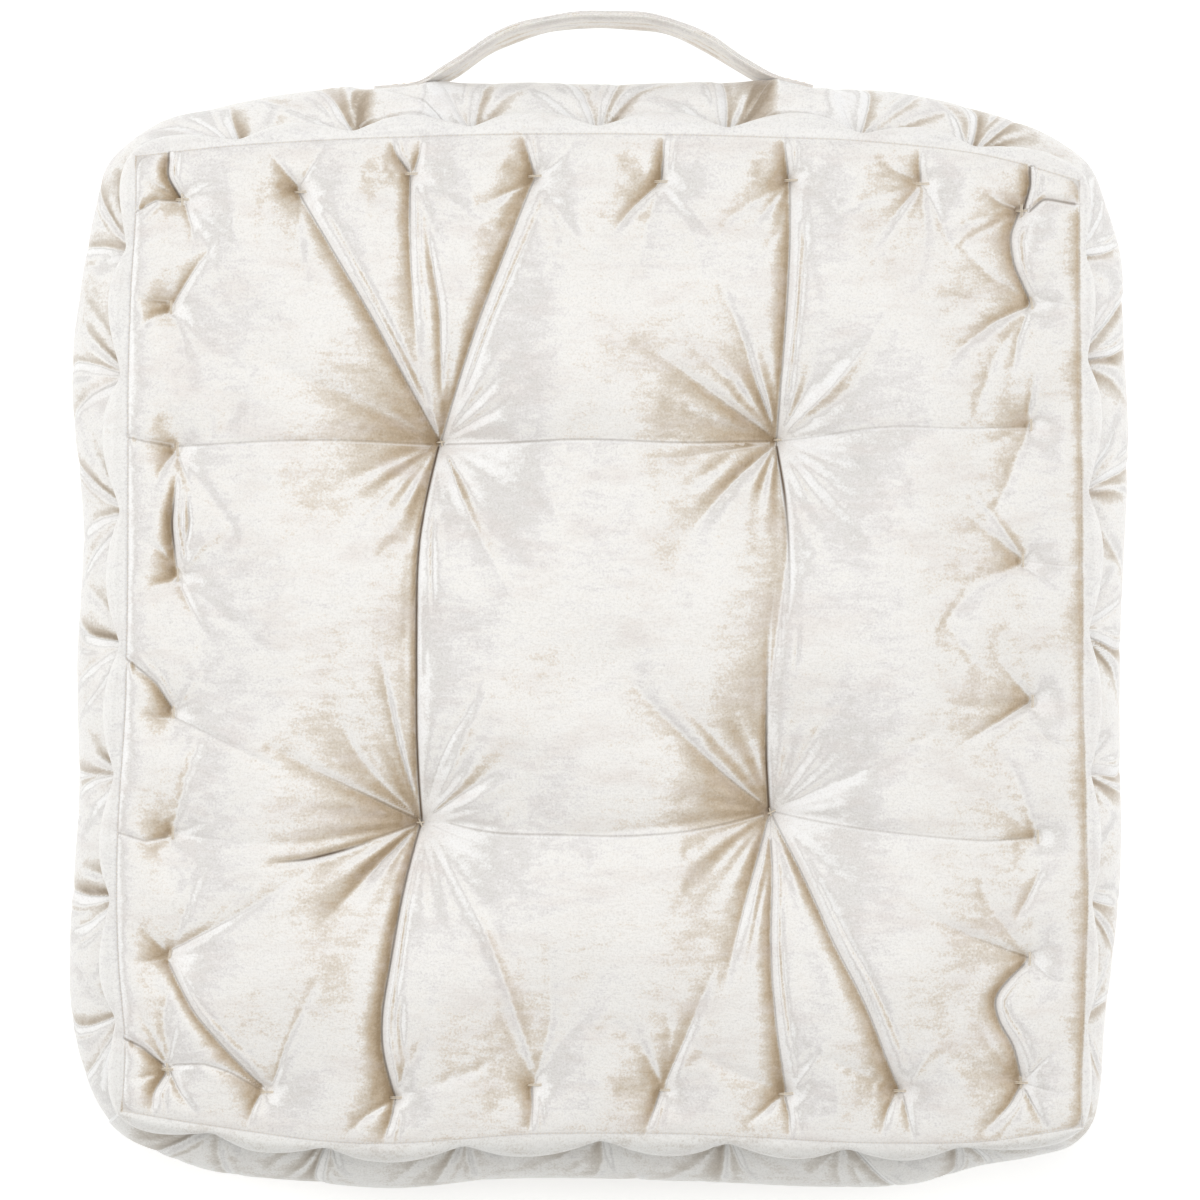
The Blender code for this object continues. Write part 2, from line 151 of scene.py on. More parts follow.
# Folds of the face, in millimetres. A route is a list of points; "held" ends are as deep as the middle, a
# fold that is "open" runs out towards its last point, and a "free" one runs out towards both. A negative
# depth is a ridge.
FOLDS_AT_CROWN = (
    # depth, half width, ends, route
    # broad channels between tufts, and from tufts to the edge
    (3.2, 13, "held", (-75, 90), (-85, 40), (-85.5, -50), (-84, -88)),
    (3.2, 13, "held", (83, 91), (88, 40), (78, -30), (80, -83)),
    (3.5, 13, "held", (-75, 90), (5, 91), (83, 91)),
    (3.5, 13, "held", (-84, -88), (0, -93), (80, -83)),
    (2.5, 10, "open", (-75, 90), (-140, 89), (-197, 87)),
    (2.5, 10, "open", (83, 91), (142, 97), (201, 98)),
    (2.5, 10, "open", (-84, -88), (-145, -98), (-199, -93)),
    (2.5, 10, "open", (80, -83), (140, -92), (204, -95)),
    # rear left tuft
    (5.0, 4.5, "held", (-75, 90), (-108, 152), (-141, 207)),
    (1.3, 2.0, "free", (-74, 100), (-97, 141), (-124, 187)),
    (4.5, 4.0, "open", (-89, 214), (-88, 172), (-84, 122)),
    (3.0, 3.5, "free", (-74, 106), (-74, 150), (-82, 197)),
    (5.0, 4.5, "held", (-75, 90), (-57, 145), (-31, 213)),
    (1.8, 2.0, "held", (-79.5, 89.5), (-125, 91), (-152, 90.5), (-197, 88)),
    (3.2, 8.0, "open", (-75, 90), (-118, 111), (-164, 130)),
    (2.5, 6.0, "open", (-75, 90), (-97, 80), (-124, 71)),
    (2.5, 6.0, "open", (-75, 90), (-96, 68), (-119, 45)),
    (1.5, 4.0, "open", (-77, 85), (-88, 66), (-98, 49)),
    (5.2, 2.9, "held", (-76, 88), (-82, 60), (-85, 40), (-85.5, 0), (-85.5, -50), (-84, -86)),
    (2.0, 3.0, "free", (-77, 76), (-78, 45), (-77.5, 3)),
    (-2.0, 6.0, "open", (-72, 82), (-58, 50), (-37, 12)),
    (2.0, 1.8, "held", (-71.5, 89.5), (-46, 89.5), (-15, 91.7), (10, 91), (36, 89.5), (78.5, 91)),
    # rear right tuft
    (5.0, 4.5, "held", (83, 91), (84.5, 120), (87, 150), (88.5, 180), (89, 212)),
    (3.0, 5.0, "open", (82, 94), (73, 118), (66, 140), (54, 167)),
    (4.5, 7.0, "open", (83, 91), (50, 114), (30, 128), (7, 142)),
    (1.5, 6.0, "open", (83, 91), (55, 99), (24, 109)),
    (3.0, 3.5, "open", (83, 91), (60, 87), (40, 83.5), (4, 81)),
    (3.0, 6.0, "open", (83, 90), (66, 76), (52, 60), (39, 46)),
    (1.5, 4.0, "open", (83, 88), (77, 72), (73, 60)),
    (1.8, 2.2, "held", (85, 91), (105, 93), (122, 96.5), (142, 97.5), (168, 96), (200, 97.5)),
    (-2.0, 7.0, "open", (88, 96), (105, 112), (122, 132), (140, 162)),
    (-1.2, 5.0, "open", (149, 209), (141, 196), (130, 180), (115, 158)),
    (5.4, 3.0, "open", (83, 88), (86, 68), (88, 45), (88.5, 20), (86, 4), (83, -15)),
    (-1.6, 6.0, "open", (88, 86), (104, 68), (122, 48), (138, 27)),
    (1.5, 2.0, "free", (84, -12), (84.5, 8), (86, 25)),
    (1.0, 2.5, "free", (90, -22), (92, -4), (92, 10)),
    # front left tuft
    (4.5, 4.5, "open", (-84, -88), (-89, -68), (-94, -50), (-99, -25), (-105, 2)),
    (3.0, 5.0, "open", (-84, -88), (-100, -72), (-113, -56), (-122, -37)),
    (5.0, 4.5, "open", (-84, -88), (-108, -75), (-131, -64), (-157, -50)),
    (2.0, 3.0, "open", (-199, -38), (-180, -47), (-160, -57), (-140, -67)),
    (3.8, 3.4, "open", (-84, -88), (-110, -96.5), (-130, -102), (-167, -106)),
    (4.5, 2.5, "free", (-98.5, -93.5), (-117, -99.5), (-137, -104.5), (-159, -106)),
    (3.0, 5.0, "open", (-201, -148), (-180, -137), (-158, -124), (-136, -109)),
    (3.0, 6.0, "open", (-85, -90), (-101, -104), (-115, -119), (-131, -137)),
    (5.8, 3.7, "held", (-84, -88), (-90, -110), (-94.5, -132), (-98, -155), (-102, -175),
     (-102.5, -192), (-99, -206), (-96, -217)),
    (2.0, 3.5, "free", (-92, -163), (-93, -182), (-91, -202)),
    (2.2, 2.2, "held", (-70, -88.5), (-50, -92.5), (-20, -92.5), (10, -93.5), (40, -91.5), (62, -87.5),
     (80, -83)),
    (1.2, 2.0, "open", (-78, -90), (-62, -95.5), (-46, -99), (-29, -99)),
    (1.2, 2.0, "open", (-82, -82), (-76, -62), (-69, -47), (-58, -30), (-54, -17)),
    (-1.6, 6.0, "open", (-78, -82), (-68, -60), (-60, -42), (-48, -20)),
    (-1.2, 5.0, "held", (-80, -92), (-66, -115), (-53, -138), (-42, -166), (-35, -190),
     (-31, -210)),
    # front right tuft
    (5.0, 6.0, "open", (80, -83), (60, -67), (40, -48), (22, -30), (10, -17)),
    (5.0, 5.0, "open", (79, -86), (74, -103), (69, -120), (63, -143), (57, -168)),
    (1.5, 7.0, "open", (79, -86), (60, -101), (44, -117)),
    (4.0, 4.0, "held", (80, -96), (81, -112), (79.5, -135), (80, -160), (83, -188), (87, -214)),
    (5.0, 5.0, "held", (80, -83), (90, -102), (101, -125), (110, -147), (120, -164), (128, -182),
     (133, -198), (140, -213)),
    (1.5, 2.0, "free", (113, -143), (122, -160), (130, -180), (134, -194)),
    (1.8, 2.0, "held", (80, -83), (100, -87), (130, -91), (160, -94), (182, -96), (203, -94)),
    (2.0, 6.0, "open", (82, -82), (105, -73), (130, -59), (162, -41)),
    (5.8, 3.2, "open", (79.5, -83), (77.5, -60), (77.5, -20), (78.5, 5), (82, 33)),
    # rear edge
    (3.0, 4.0, "open", (-141, 209), (-147, 216), (-155, 226)),
    (1.0, 2.0, "open", (-139, 211), (-134, 219), (-129, 228)),
    (4.0, 3.0, "open", (-90, 217), (-95, 224), (-99, 236)),
    (3.0, 3.0, "open", (-86.5, 217), (-84, 225), (-83, 237)),
    (4.0, 3.5, "open", (-31, 215), (-34, 226), (-38, 243)),
    (1.0, 2.0, "open", (-27, 215), (-18, 222), (-11, 231)),
    (2.5, 5.0, "open", (-33, 211), (-45, 205), (-58, 199)),
    (4.5, 3.5, "open", (29, 213), (30, 225), (31, 243)),
    (3.0, 5.0, "open", (27, 210), (15, 199), (3, 183)),
    (-1.5, 6.0, "open", (31, 209), (42, 198), (57, 181)),
    (4.5, 4.0, "open", (88, 214), (87, 225), (84, 241)),
    (2.0, 5.0, "open", (87, 210), (78, 198), (69, 189)),
    (3.0, 3.0, "open", (150, 212), (149.5, 219), (150, 230)),
    (2.0, 4.0, "open", (148, 212), (140, 215), (129, 223)),
    (2.0, 4.0, "open", (148, 208), (141, 200), (133, 190)),
    (1.5, 6.0, "open", (153, 208), (160, 190), (167, 170)),
    # rear left corner
    (5.0, 3.2, "held", (-196, 204), (-202, 214), (-201, 236)),
    (3.5, 3.5, "held", (-197, 203), (-207, 203), (-219, 196)),
    (2.5, 3.0, "open", (-198, 205), (-206, 209), (-218, 213)),
    (2.0, 3.0, "open", (-193, 200), (-190, 190), (-190, 181)),
    (-1.0, 3.0, "open", (-192, 205), (-182, 209), (-167, 213)),
    # rear right corner
    (5.0, 3.0, "held", (198, 199), (201, 210), (200.5, 223)),
    (3.5, 2.5, "held", (201, 198), (207, 203.5), (222, 201)),
    (3.0, 3.0, "open", (195, 198), (186, 201), (179, 207)),
    (3.5, 3.0, "held", (200.5, 222), (192, 223), (180, 229)),
    (1.5, 2.0, "open", (197, 196), (196, 188)),
    (5.0, 4.0, "held", (201, 156), (193, 172), (191, 186), (196, 198)),
    # left edge
    (2.0, 3.0, "open", (-202, 155), (-211, 155.5), (-221, 160)),
    (2.0, 4.0, "open", (-201, 151), (-208, 149), (-217, 142)),
    (3.0, 4.0, "open", (-198, 156), (-189, 170), (-178, 185)),
    (-0.8, 4.0, "open", (-196, 152), (-178, 148), (-158, 135)),
    (3.0, 3.0, "held", (-200, 88), (-211, 90), (-223, 93)),
    (2.0, 4.0, "open", (-199, 85), (-204, 78), (-208, 67)),
    (1.5, 3.0, "open", (-196, 82), (-193, 74), (-190, 65)),
    (6.0, 3.4, "free", (-197, 75.5), (-200, 52), (-196.5, 24)),
    (1.8, 1.6, "free", (-192.5, 69), (-191, 52), (-194, 36)),
    (2.0, 3.0, "open", (-198, 31), (-205, 40), (-218, 46)),
    (1.5, 4.0, "open", (-199, 26), (-206, 24), (-213, 20)),
    (2.0, 5.0, "open", (-195, 22), (-189, 10), (-180, -5)),
    (-1.0, 4.0, "open", (-194, 31), (-185, 42), (-171, 52)),
    (4.0, 3.5, "held", (-200, -34), (-207, -22), (-223, -10)),
    (1.5, 2.5, "open", (-201, -38), (-208, -38), (-217, -36)),
    (-0.8, 3.0, "open", (-197, -33), (-191, -24), (-186, -16)),
    (2.0, 2.0, "held", (-202, -94), (-212, -96), (-225, -92)),
    (1.5, 4.0, "open", (-196, -93), (-172, -95), (-145, -100)),
    (2.0, 4.0, "open", (-203, -148), (-208, -143), (-215, -136)),
    (1.2, 3.0, "open", (-204, -151), (-214, -153), (-225, -150)),
    (4.5, 4.0, "held", (-201, -154), (-189, -176), (-174, -194), (-158, -211)),
    # front left corner
    (4.0, 3.0, "held", (-204, -201), (-213, -193), (-225, -187)),
    (4.5, 4.0, "open", (-203, -205), (-208, -213), (-209, -227)),
    (3.0, 3.0, "open", (-200, -205), (-196, -213), (-187, -225)),
    (1.2, 2.5, "open", (-203, -199), (-208, -188), (-218, -171)),
    (0.9, 2.0, "open", (-201, -198), (-199, -188), (-196, -177)),
    (2.5, 2.5, "held", (-199, -201), (-185, -199.5), (-172, -204), (-160, -212)),
    (1.5, 3.0, "open", (-206, -205), (-216, -207), (-225, -206)),
    # front edge
    (2.5, 3.0, "open", (-159, -215), (-162, -221), (-165, -231)),
    (1.2, 2.5, "open", (-153, -212), (-146, -190), (-129, -156)),
    (4.5, 4.0, "open", (-96, -219), (-98, -228), (-103, -241)),
    (2.0, 4.0, "open", (-98, -218), (-108, -224), (-120, -234)),
    (1.2, 2.5, "open", (-94, -212), (-90, -195), (-88, -180)),
    (4.0, 3.5, "open", (-32, -212), (-31.5, -221), (-33, -236)),
    (1.0, 4.0, "open", (-31, -207), (-36, -190), (-42, -173)),
    (4.0, 3.5, "open", (28, -214), (25, -223), (20, -236)),
    (1.0, 4.0, "open", (28, -208), (21, -193), (14, -176)),
    (2.5, 5.0, "open", (32, -207), (42, -182), (55, -150)),
    (3.5, 3.0, "open", (87, -217), (89, -225), (89, -238)),
    (2.5, 4.0, "open", (84, -216), (77, -222), (67, -230)),
    (-1.0, 4.0, "open", (91, -211), (99, -200), (107, -189)),
    (3.0, 3.5, "open", (137, -216), (134, -223), (131, -235)),
    (3.0, 3.0, "open", (142, -216), (144, -225), (147, -237)),
    (-1.0, 5.0, "open", (144, -209), (152, -196), (159, -187)),
    # right edge
    (3.0, 5.0, "open", (201, 154), (185, 147), (161, 128)),
    (2.0, 6.0, "open", (200, 157), (182, 166), (162, 187)),
    (1.2, 2.0, "held", (203, 155), (212, 156), (224, 153)),
    (1.5, 3.0, "open", (199, 148), (195, 138), (191, 118)),
    (1.5, 2.5, "open", (200, 104), (203, 124)),
    (-1.5, 3.0, "open", (197, 37), (185, 53), (167, 75)),
    (2.0, 4.0, "open", (196, 36), (182, 47), (165, 60)),
    (1.5, 7.0, "open", (197, 33), (180, 28), (158, 21)),
    (1.2, 2.0, "held", (200, 34.5), (212, 33), (225, 32)),
    (1.0, 3.0, "open", (200, 30), (210, 22), (222, 17)),
    (3.5, 5.0, "open", (201, -31), (186, -40), (165, -52)),
    (2.0, 4.0, "open", (201, -30), (194, -22), (183, -10)),
    (1.5, 2.5, "free", (202, -41), (209, -49), (224, -54)),
    (1.5, 3.0, "free", (207, -107), (201, -120), (193, -134)),
    (4.0, 5.0, "open", (200, -151), (172, -140), (142, -125)),
    (5.0, 4.0, "held", (198, -154), (190, -161), (183, -169), (186, -181), (193, -191),
     (196.5, -206)),
    (1.5, 2.5, "open", (203, -154), (210, -161), (224, -163)),
    # front right corner
    (4.0, 4.0, "open", (197, -210), (191, -220), (177, -234)),
    (1.5, 2.0, "open", (199, -207), (206, -199), (215, -191)),
    (1.5, 2.0, "open", (200, -210), (212, -213), (224, -213)),
    (3.0, 3.0, "open", (199, -213), (203, -221), (210, -233)),
)


def spread_out(places, gain):
    """Places of the plan, gain times as far from the middle of the view, each to half a millimetre."""
    away = ((x, y - VIEW_MIDDLE_Y) for x, y in places)
    return tuple((round(2 * gain * x) / 2, round(2 * (VIEW_MIDDLE_Y + gain * y)) / 2) for x, y in away)


FACE_STITCHES = {side: spread_out(places, SEAM_SPREAD) for side, places in STITCHES_AT_CROWN.items()}
SEAM = {side: spread_out(places, SEAM_SPREAD) for side, places in SEAM_AT_CROWN.items()}
BULGE = spread_out(BULGE_AT_CROWN, BULGE_SPREAD)
FACE_FOLDS = tuple((*fold[:3], *spread_out(fold[3:], SEAM_SPREAD)) for fold in FOLDS_AT_CROWN)

# Middle line of the strap seen from above, in millimetres. Its two ends are sewn flat to the boxing.
STRAP_LINE = (
    (-108, 261.4), (-100, 262.0), (-92, 262.6), (-86, 263.9), (-80, 266.4), (-72, 270.6), (-51.5, 284.2),
    (-31, 292), (-10, 295.3), (10, 295.3), (31, 292.9), (51.5, 284.3), (67, 274.6), (78, 268.4), (86, 265.9),
    (94, 263.9), (102, 261.9),
)
STRAP_WIDTH, STRAP_THICKNESS, TAB_THICKNESS, STRAP_Z = 0.025, 0.0036, 0.0022, 0.0625
STRAP_STATIONS, STRAP_POINTS = 240, 64  # along it, and round its section
STRAP_SQUARENESS = 5  # power of its rounded oblong section
STRAP_LEAN = np.radians(7)
LIFT_X, LIFT_RUN = 0.080, 0.003  # where each end lifts off the boxing, and over what length
EDGE_GROOVE_DEPTH, EDGE_GROOVE_REACH = 0.0009, 0.0004  # between the folded lips of a long edge
SEWN_GROOVE_HEIGHT, SEWN_GROOVE_REACH, SEWN_GROOVE_SHARE = 0.0098, 0.0007, 0.28  # a share of the thickness
STRAP_WAVES = (0.031, 0.047, 0.083)  # wavelengths of its unevenness
RIB_PITCH_THROUGH, RIB_PITCH_UP = 0.0024, 0.0031  # of the brushed ribs that wind round it

# The flat ends of the strap on the boxing. Places along X are measured from its middle.
TAB_MIDDLE, TAB_HALF_LENGTH = 0.0965, 0.0105
TAB_SINK = 0.0003  # how far the boxing presses into them
TAB_FADE = 0.010
REAR_Y = 0.2  # all that lies further back belongs to the rear side

# Painted shade and highlight by slope, kept as the pile's lean: darker where a surface faces away from the
# key lamp on the left, lighter where it faces it. A panel's is its normal times PANEL_SHADE_AXIS, less a
# share of what its crown gives.
PANEL_SHADE_AXIS = (1.3, -0.26, 0)
CROWN_SHARE, CROWN_SEAM_REACH = 0.9, 9  # millimetres
BACK_SHADE_SHARE = 0.35  # a share of the painted slope shade, which is weaker on the back
ROLL_GAIN, BULGE_GAIN, FRONT_LOSS = 0.1, 2.9, 0.8  # how strongly the boxing's slope is painted as shade: everywhere, on its bulge, less at its front
# Shifts of the boxing's painted slope shade: all round it, and darker at its front.
BOXING_OFFSET, FRONT_OFFSET = -0.04, 0.15
TAB_UNSHADED_X, TAB_UNSHADED_REACH = 0.098, 0.02  # where no slope shade is painted round the strap's ends, which press the boxing flat
# Painted shade of the boxing, which greys and darkens it: all round it, and how much more at its front and on
# its left.
BOXING_SHADE, FRONT_SHADE, LEFT_SHADE = 0.05, 0.95, 0.25

# Threads: radii, and the offset of a bar's two threads from its middle, in metres.
BAR_RADIUS, TIE_RADIUS, SEAM_RADIUS, CROSS_RADIUS = 0.00022, 0.0004, 0.00014, 0.00026
BAR_LANE = 0.00032
BAR_HALF_LENGTH = 3.4  # millimetres
BAR_CELLS = 3  # the same along the boxing's grid
TIE_ARMS = ((1.6, 0.5), (-0.5, 1.6))  # millimetres
SEAM_STITCH_CELLS, SEAM_STITCH_SHARE = 2, 0.8  # one stitch for two cells, and how much of a cell it spans
CROSS_LOW, CROSS_HIGH = (0.0885, -0.0095), (0.0995, 0.0095)  # corners of the boxed cross, along and up
CROSS_PITCH, CROSS_GAP = 0.0032, 0.12

# Section of a panel, in millimetres: the rolled edge and the rise to the crown.
PANEL_SECTION = (
    # inside the seam, rise above it
    (0, 0), (3, 1.0), (8, 2.3), (14, 3.5), (22, 4.8), (30, 5.9), (50, 8.5), (80, 11.6), (120, 13.2),
    (240, 13.6),
)
# Section of the boxing: its outset is a share of the gap between the seam line and the widest bulge.
BOXING_SECTION = (
    # share of the cloth from the face seam, outset, height in millimetres below the face seam
    (0.00, 0.00, 0.6), (0.02, 0.11, 0.3), (0.05, 0.29, 0.9), (0.08, 0.43, 3.2), (0.115, 0.53, 7.0),
    (0.15, 0.56, 11.5), (0.185, 0.52, 16.0), (0.22, 0.43, 20.3), (0.25, 0.37, 23.5), (0.29, 0.47, 27.0),
    (0.34, 0.69, 31.0), (0.42, 0.92, 38.8), (0.50, 1.00, 48.5), (0.58, 0.92, 58.2), (0.66, 0.69, 66.0),
    (0.71, 0.47, 70.0),
    (0.75, 0.37, 73.5), (0.78, 0.43, 76.7), (0.815, 0.52, 81.0), (0.85, 0.56, 85.5), (0.885, 0.53, 90.0),
    (0.92, 0.43, 93.8), (0.95, 0.29, 96.0), (0.98, 0.11, 96.8), (1.00, 0.00, 97.0),
)
BOXING_STITCH_ROWS = (0.25, 0.75)  # shares of the boxing's cloth
PINCH_REACH = 16.0  # how far along the band a stitch draws the roll in
PINCH_ROWS = (0.15, 0.85)  # where it draws most, and how far across the band, as shares of its cloth
PINCH_SPREAD = 0.15
PINCH, MOST_PINCH = 0.82, 0.92  # of one stitch, and of all together: shares of the outset
CORNER_ROUNDING = 16.0  # how far the boxing cuts across a corner of the seam, in millimetres


def hermite(table, t):
    """A smooth curve through a table's points: cubic pieces whose slopes are those of the neighbours."""
    knots, values = (np.array(column, float) for column in zip(*table))
    slopes = np.gradient(values, knots)
    n = np.clip(np.searchsorted(knots, t) - 1, 0, len(knots) - 2)
    span = knots[n + 1] - knots[n]
    s = np.clip((t - knots[n]) / span, 0, 1)
    rise = values[n + 1] - values[n]
    start, end = slopes[n] * span - rise, rise - slopes[n + 1] * span
    return values[n] + s * rise + s * (1 - s) * ((1 - s) * start + s * end)


def bulge_line(loop):
    """Where the ray from the middle through each seam point meets the bulge: its radius by its angle."""
    x, y = np.array(BULGE).T
    angle = np.unwrap(np.arctan2(y, x))
    radius = np.hypot(x, y)
    turns = np.concatenate([angle + 2 * np.pi * n for n in (-1, 0, 1, 2)])
    here = np.arctan2(loop[:, 1], loop[:, 0])
    reach = hermite(list(zip(turns, np.tile(radius, 4))), here)
    return np.column_stack((np.cos(here), np.sin(here))) * reach[:, None]


def smooth_min(values, softness):
    """The least of several arrays, rounded where two of them are within the softness of each other."""
    return -softness * np.log(sum(np.exp(-v / softness) for v in values))


# ---------------------------------------------------------------- grids


def seam_across(side, along):
    """Where a side's seam runs at the given places along it."""
    axis = 0 if side in ("front", "rear") else 1
    return hermite([(p[axis], p[1 - axis]) for p in SEAM[side]], along)


def side_line(side, edge_cells, gap_cells):
    """Seam points along a side, one for each grid line: even divisions between the stitches' stations."""
    axis = 0 if side in ("front", "rear") else 1
    seam = np.array(SEAM[side], float)
    knots = np.array([seam[0, axis], *(p[axis] for p in FACE_STITCHES[side]), seam[-1, axis]])
    cells = np.concatenate(([0], np.cumsum([edge_cells, *[gap_cells] * GAPS, edge_cells])))
    along = hermite(list(zip(cells, knots)), np.arange(cells[-1] + 1))
    across = seam_across(side, along)
    return np.column_stack((along, across) if axis == 0 else (across, along))


def panel_plan(edge_cells, gap_cells):
    """Plan of a panel's grid, in millimetres: a Coons patch between its four sides, indexed [row, column].

    The grid is then drawn towards the tufts by exp(-(r / TUFT_DRAW)^2), so that a grid point lies on each.
    """
    sides = ("front", "rear", "left", "right")
    front, rear, left, right = (side_line(side, edge_cells, gap_cells) for side in sides)
    n = len(front) - 1
    u = (np.arange(n + 1) / n)[None, :, None]
    v = (np.arange(n + 1) / n)[:, None, None]
    across = (1 - v) * front[None] + v * rear[None] + (1 - u) * left[:, None] + u * right[:, None]
    front_corners = (1 - u) * (1 - v) * front[0] + u * (1 - v) * front[-1]
    plan = across - (front_corners + (1 - u) * v * rear[0] + u * v * rear[-1])
    near, far = edge_cells + 2 * gap_cells, edge_cells + 5 * gap_cells
    moved = plan.copy()
    for (x, y, _), cell in zip(TUFTS.values(), ((far, near), (far, far), (near, near), (near, far))):
        away = ((plan - plan[cell]) ** 2).sum(-1)
        moved += (np.array((x, y)) - plan[cell]) * np.exp(-away / TUFT_DRAW**2)[..., None]
    return moved


def rim(grid):
    """The border of a panel's grid as one closed loop: front, right, rear, left."""
    return np.concatenate((grid[0, :-1], grid[:-1, -1], grid[-1, :0:-1], grid[:0:-1, 0]))


def refine(grid, axis, parts, closed=False):
    """Divides each cell of a grid into parts along an axis, on the cubic through the four nearest points."""
    grid = np.moveaxis(grid, axis, 0)
    if closed:
        around = np.concatenate((grid[-1:], grid, grid[:2]))
    else:
        around = np.concatenate((2 * grid[:1] - grid[1:2], grid, 2 * grid[-1:] - grid[-2:-1]))
    before, start, end, after = around[:-3], around[1:-2], around[2:-1], around[3:]
    fine = np.empty((parts * len(start) + (0 if closed else 1), *grid.shape[1:]))
    fine[-1] = grid[-1]
    for n in range(parts):
        f = n / parts
        fine[n : parts * len(start) : parts] = (
            -f * (f - 1) * (f - 2) / 6 * before
            + (f + 1) * (f - 1) * (f - 2) / 2 * start
            - (f + 1) * f * (f - 2) / 2 * end
            + (f + 1) * f * (f - 1) / 6 * after
        )
    return np.moveaxis(fine, 0, axis)


# ---------------------------------------------------------------- folds


def route_points(route):
    """A fold's route as 24 points of a smooth line: even steps along the given points, then averaged."""
    route = np.array(route, float)
    reach = np.concatenate(([0], np.cumsum(np.hypot(*np.diff(route, axis=0).T))))
    even = np.linspace(0, reach[-1], 24)
    line = np.column_stack([np.interp(even, reach, c) for c in route.T])
    for _ in range(4):
        line[1:-1] = (line[:-2] + 2 * line[1:-1] + line[2:]) / 4
    return line


# How deep a fold is along its route, for the share t of the route.
ENDS = {
    "held": lambda t: np.ones_like(t),
    "open": lambda t: np.minimum(1, 1.25 * (1 - t)),
    "free": lambda t: np.sin(np.pi * t),
}


def beside(points, route, reach):
    """The points within reach of a route, by index, and how they lie beside it.

    Returned are their distance r, how far right of the route they are, -1 to 1, the share of the route they
    are at, and r again with a sign: positive on the right of a route that runs up.
    """
    line = route_points(route)
    inside = np.flatnonzero(((points > line.min(0) - reach) & (points < line.max(0) + reach)).all(1))
    near = points[inside][:, None]
    start, step = line[:-1], np.diff(line, axis=0)
    share = np.clip(((near - start) * step).sum(-1) / (step**2).sum(-1), 0, 1)
    apart = near - start - share[..., None] * step
    away = np.hypot(apart[..., 0], apart[..., 1])
    nearest = away.argmin(1)
    rows = np.arange(len(nearest))
    apart, r, ahead = apart[rows, nearest], away[rows, nearest], step[nearest]
    runs_up = np.sign((line[-1] - line[0]) @ (0.2, 1.0))
    side = runs_up * np.sign(apart[:, 0] * ahead[:, 1] - apart[:, 1] * ahead[:, 0]) * r
    return inside, r, apart[:, 0] / (r + 0.8), (nearest + share[rows, nearest]) / len(step), side


def fold_relief(points, folds):
    """How deep each point lies in the folds, in millimetres.

    A fold's section over the distance r from its route is a valley exp(-r / w) between soft shoulders,
    -0.25 exp(-(r / 2.5w)^2). w grows along the route, and is narrower on the right, where the cloth is drawn
    tighter. A fold deeper than 3 mm has a pleat on that side, a narrower valley 2.6 w from it.
    Where valleys cross, the sum of their cubes counts, so that they don't dig a hole.
    """
    flat = points.reshape(-1, 2)
    valleys, ridges = np.zeros((2, len(flat)))
    for depth, width, ends, *route in folds:
        inside, r, right, t, _ = beside(flat, route, 7 * width + 3)
        r = np.sqrt(r**2 + 0.4**2)
        w = width * (0.5 + 0.55 * t)
        if depth > 0:
            w *= 0.95 - 0.35 * right
        section = np.exp(-r / w) - 0.25 * np.exp(-((r / (2.5 * w)) ** 2))
        if depth > 3 and width < 8:
            pleat = np.exp(-np.sqrt(((r - 2.6 * w) / (0.5 * w)) ** 2 + 0.05))
            section += 0.3 * np.maximum(0, right) * np.sin(np.pi * t) * pleat
        section *= depth * ENDS[ends](t)
        valleys[inside] += np.maximum(section, 0) ** 3
        ridges[inside] += np.minimum(section, 0)
    return (np.cbrt(valleys) + ridges).reshape(points.shape[:-1])


def crease_lines(points, folds):
    """How sharply each point is creased, 0 to 1, and how far right of the crease it is, in millimetres.

    Every fold of at most 7 mm half width has a crease along its bottom, as sharp as its depth over twice its
    half width, and at most 1. Round it the sharpness fades as exp(-(r / CREASE_REACH)^2). The sharpest
    crease counts.
    """
    flat = points.reshape(-1, 2)
    sharp, side = np.zeros((2, len(flat)))
    for depth, width, ends, *route in folds:
        if 0 < depth and width <= 7:
            inside, r, _, t, right = beside(flat, route, 8)
            here = min(1, depth / (2 * width)) * ENDS[ends](t) * np.exp(-((r / CREASE_REACH) ** 2))
            wins = here > sharp[inside]
            sharp[inside[wins]] = here[wins]
            side[inside[wins]] = right[wins]
    return sharp.reshape(points.shape[:-1]), side.reshape(points.shape[:-1])


def fan(rng, anchor, middle, spread, count, length, depth, width):
    """Folds that spread from an anchor about a middle heading, each a little off in heading, bend and size.

    Rows are those of FACE_FOLDS. All run out towards their far end.
    """
    folds = []
    for heading in middle + np.linspace(-spread, spread, count) + rng.uniform(-0.2, 0.2, count):
        run = length * rng.uniform(0.6, 1.3)
        ahead = np.array((np.cos(heading), np.sin(heading)))
        aside = np.array((-ahead[1], ahead[0])) * rng.uniform(-0.13, 0.13)
        bent = anchor + run * (ahead / 2 + aside)
        size = rng.uniform(0.45, 1.1)
        half_width = width * rng.uniform(0.8, 1.2)
        folds.append((depth * size, half_width, "open", anchor, bent, anchor + run * ahead))
    return folds


def star(rng, anchor, count, length, depth, width):
    """Folds that spread from an anchor all round."""
    return fan(rng, np.array(anchor), 0, np.pi * (1 - 1 / count), count, length, depth, width)


# ---------------------------------------------------------------- the cover's three cuts


def lumps(x, y, size, height, seed):
    """Uneven filling: a sum of twelve plane waves with wavelengths of about the given size."""
    rng = np.random.default_rng(seed)
    total = np.zeros_like(x)
    for heading, wavelength, phase in rng.uniform((0, 0.7, 0), (np.pi, 1.6, 2 * np.pi), (12, 3)):
        along = x * np.cos(heading) + y * np.sin(heading)
        total += np.cos(2 * np.pi * along / (size * wavelength) + phase)
    return height * total / np.sqrt(12)


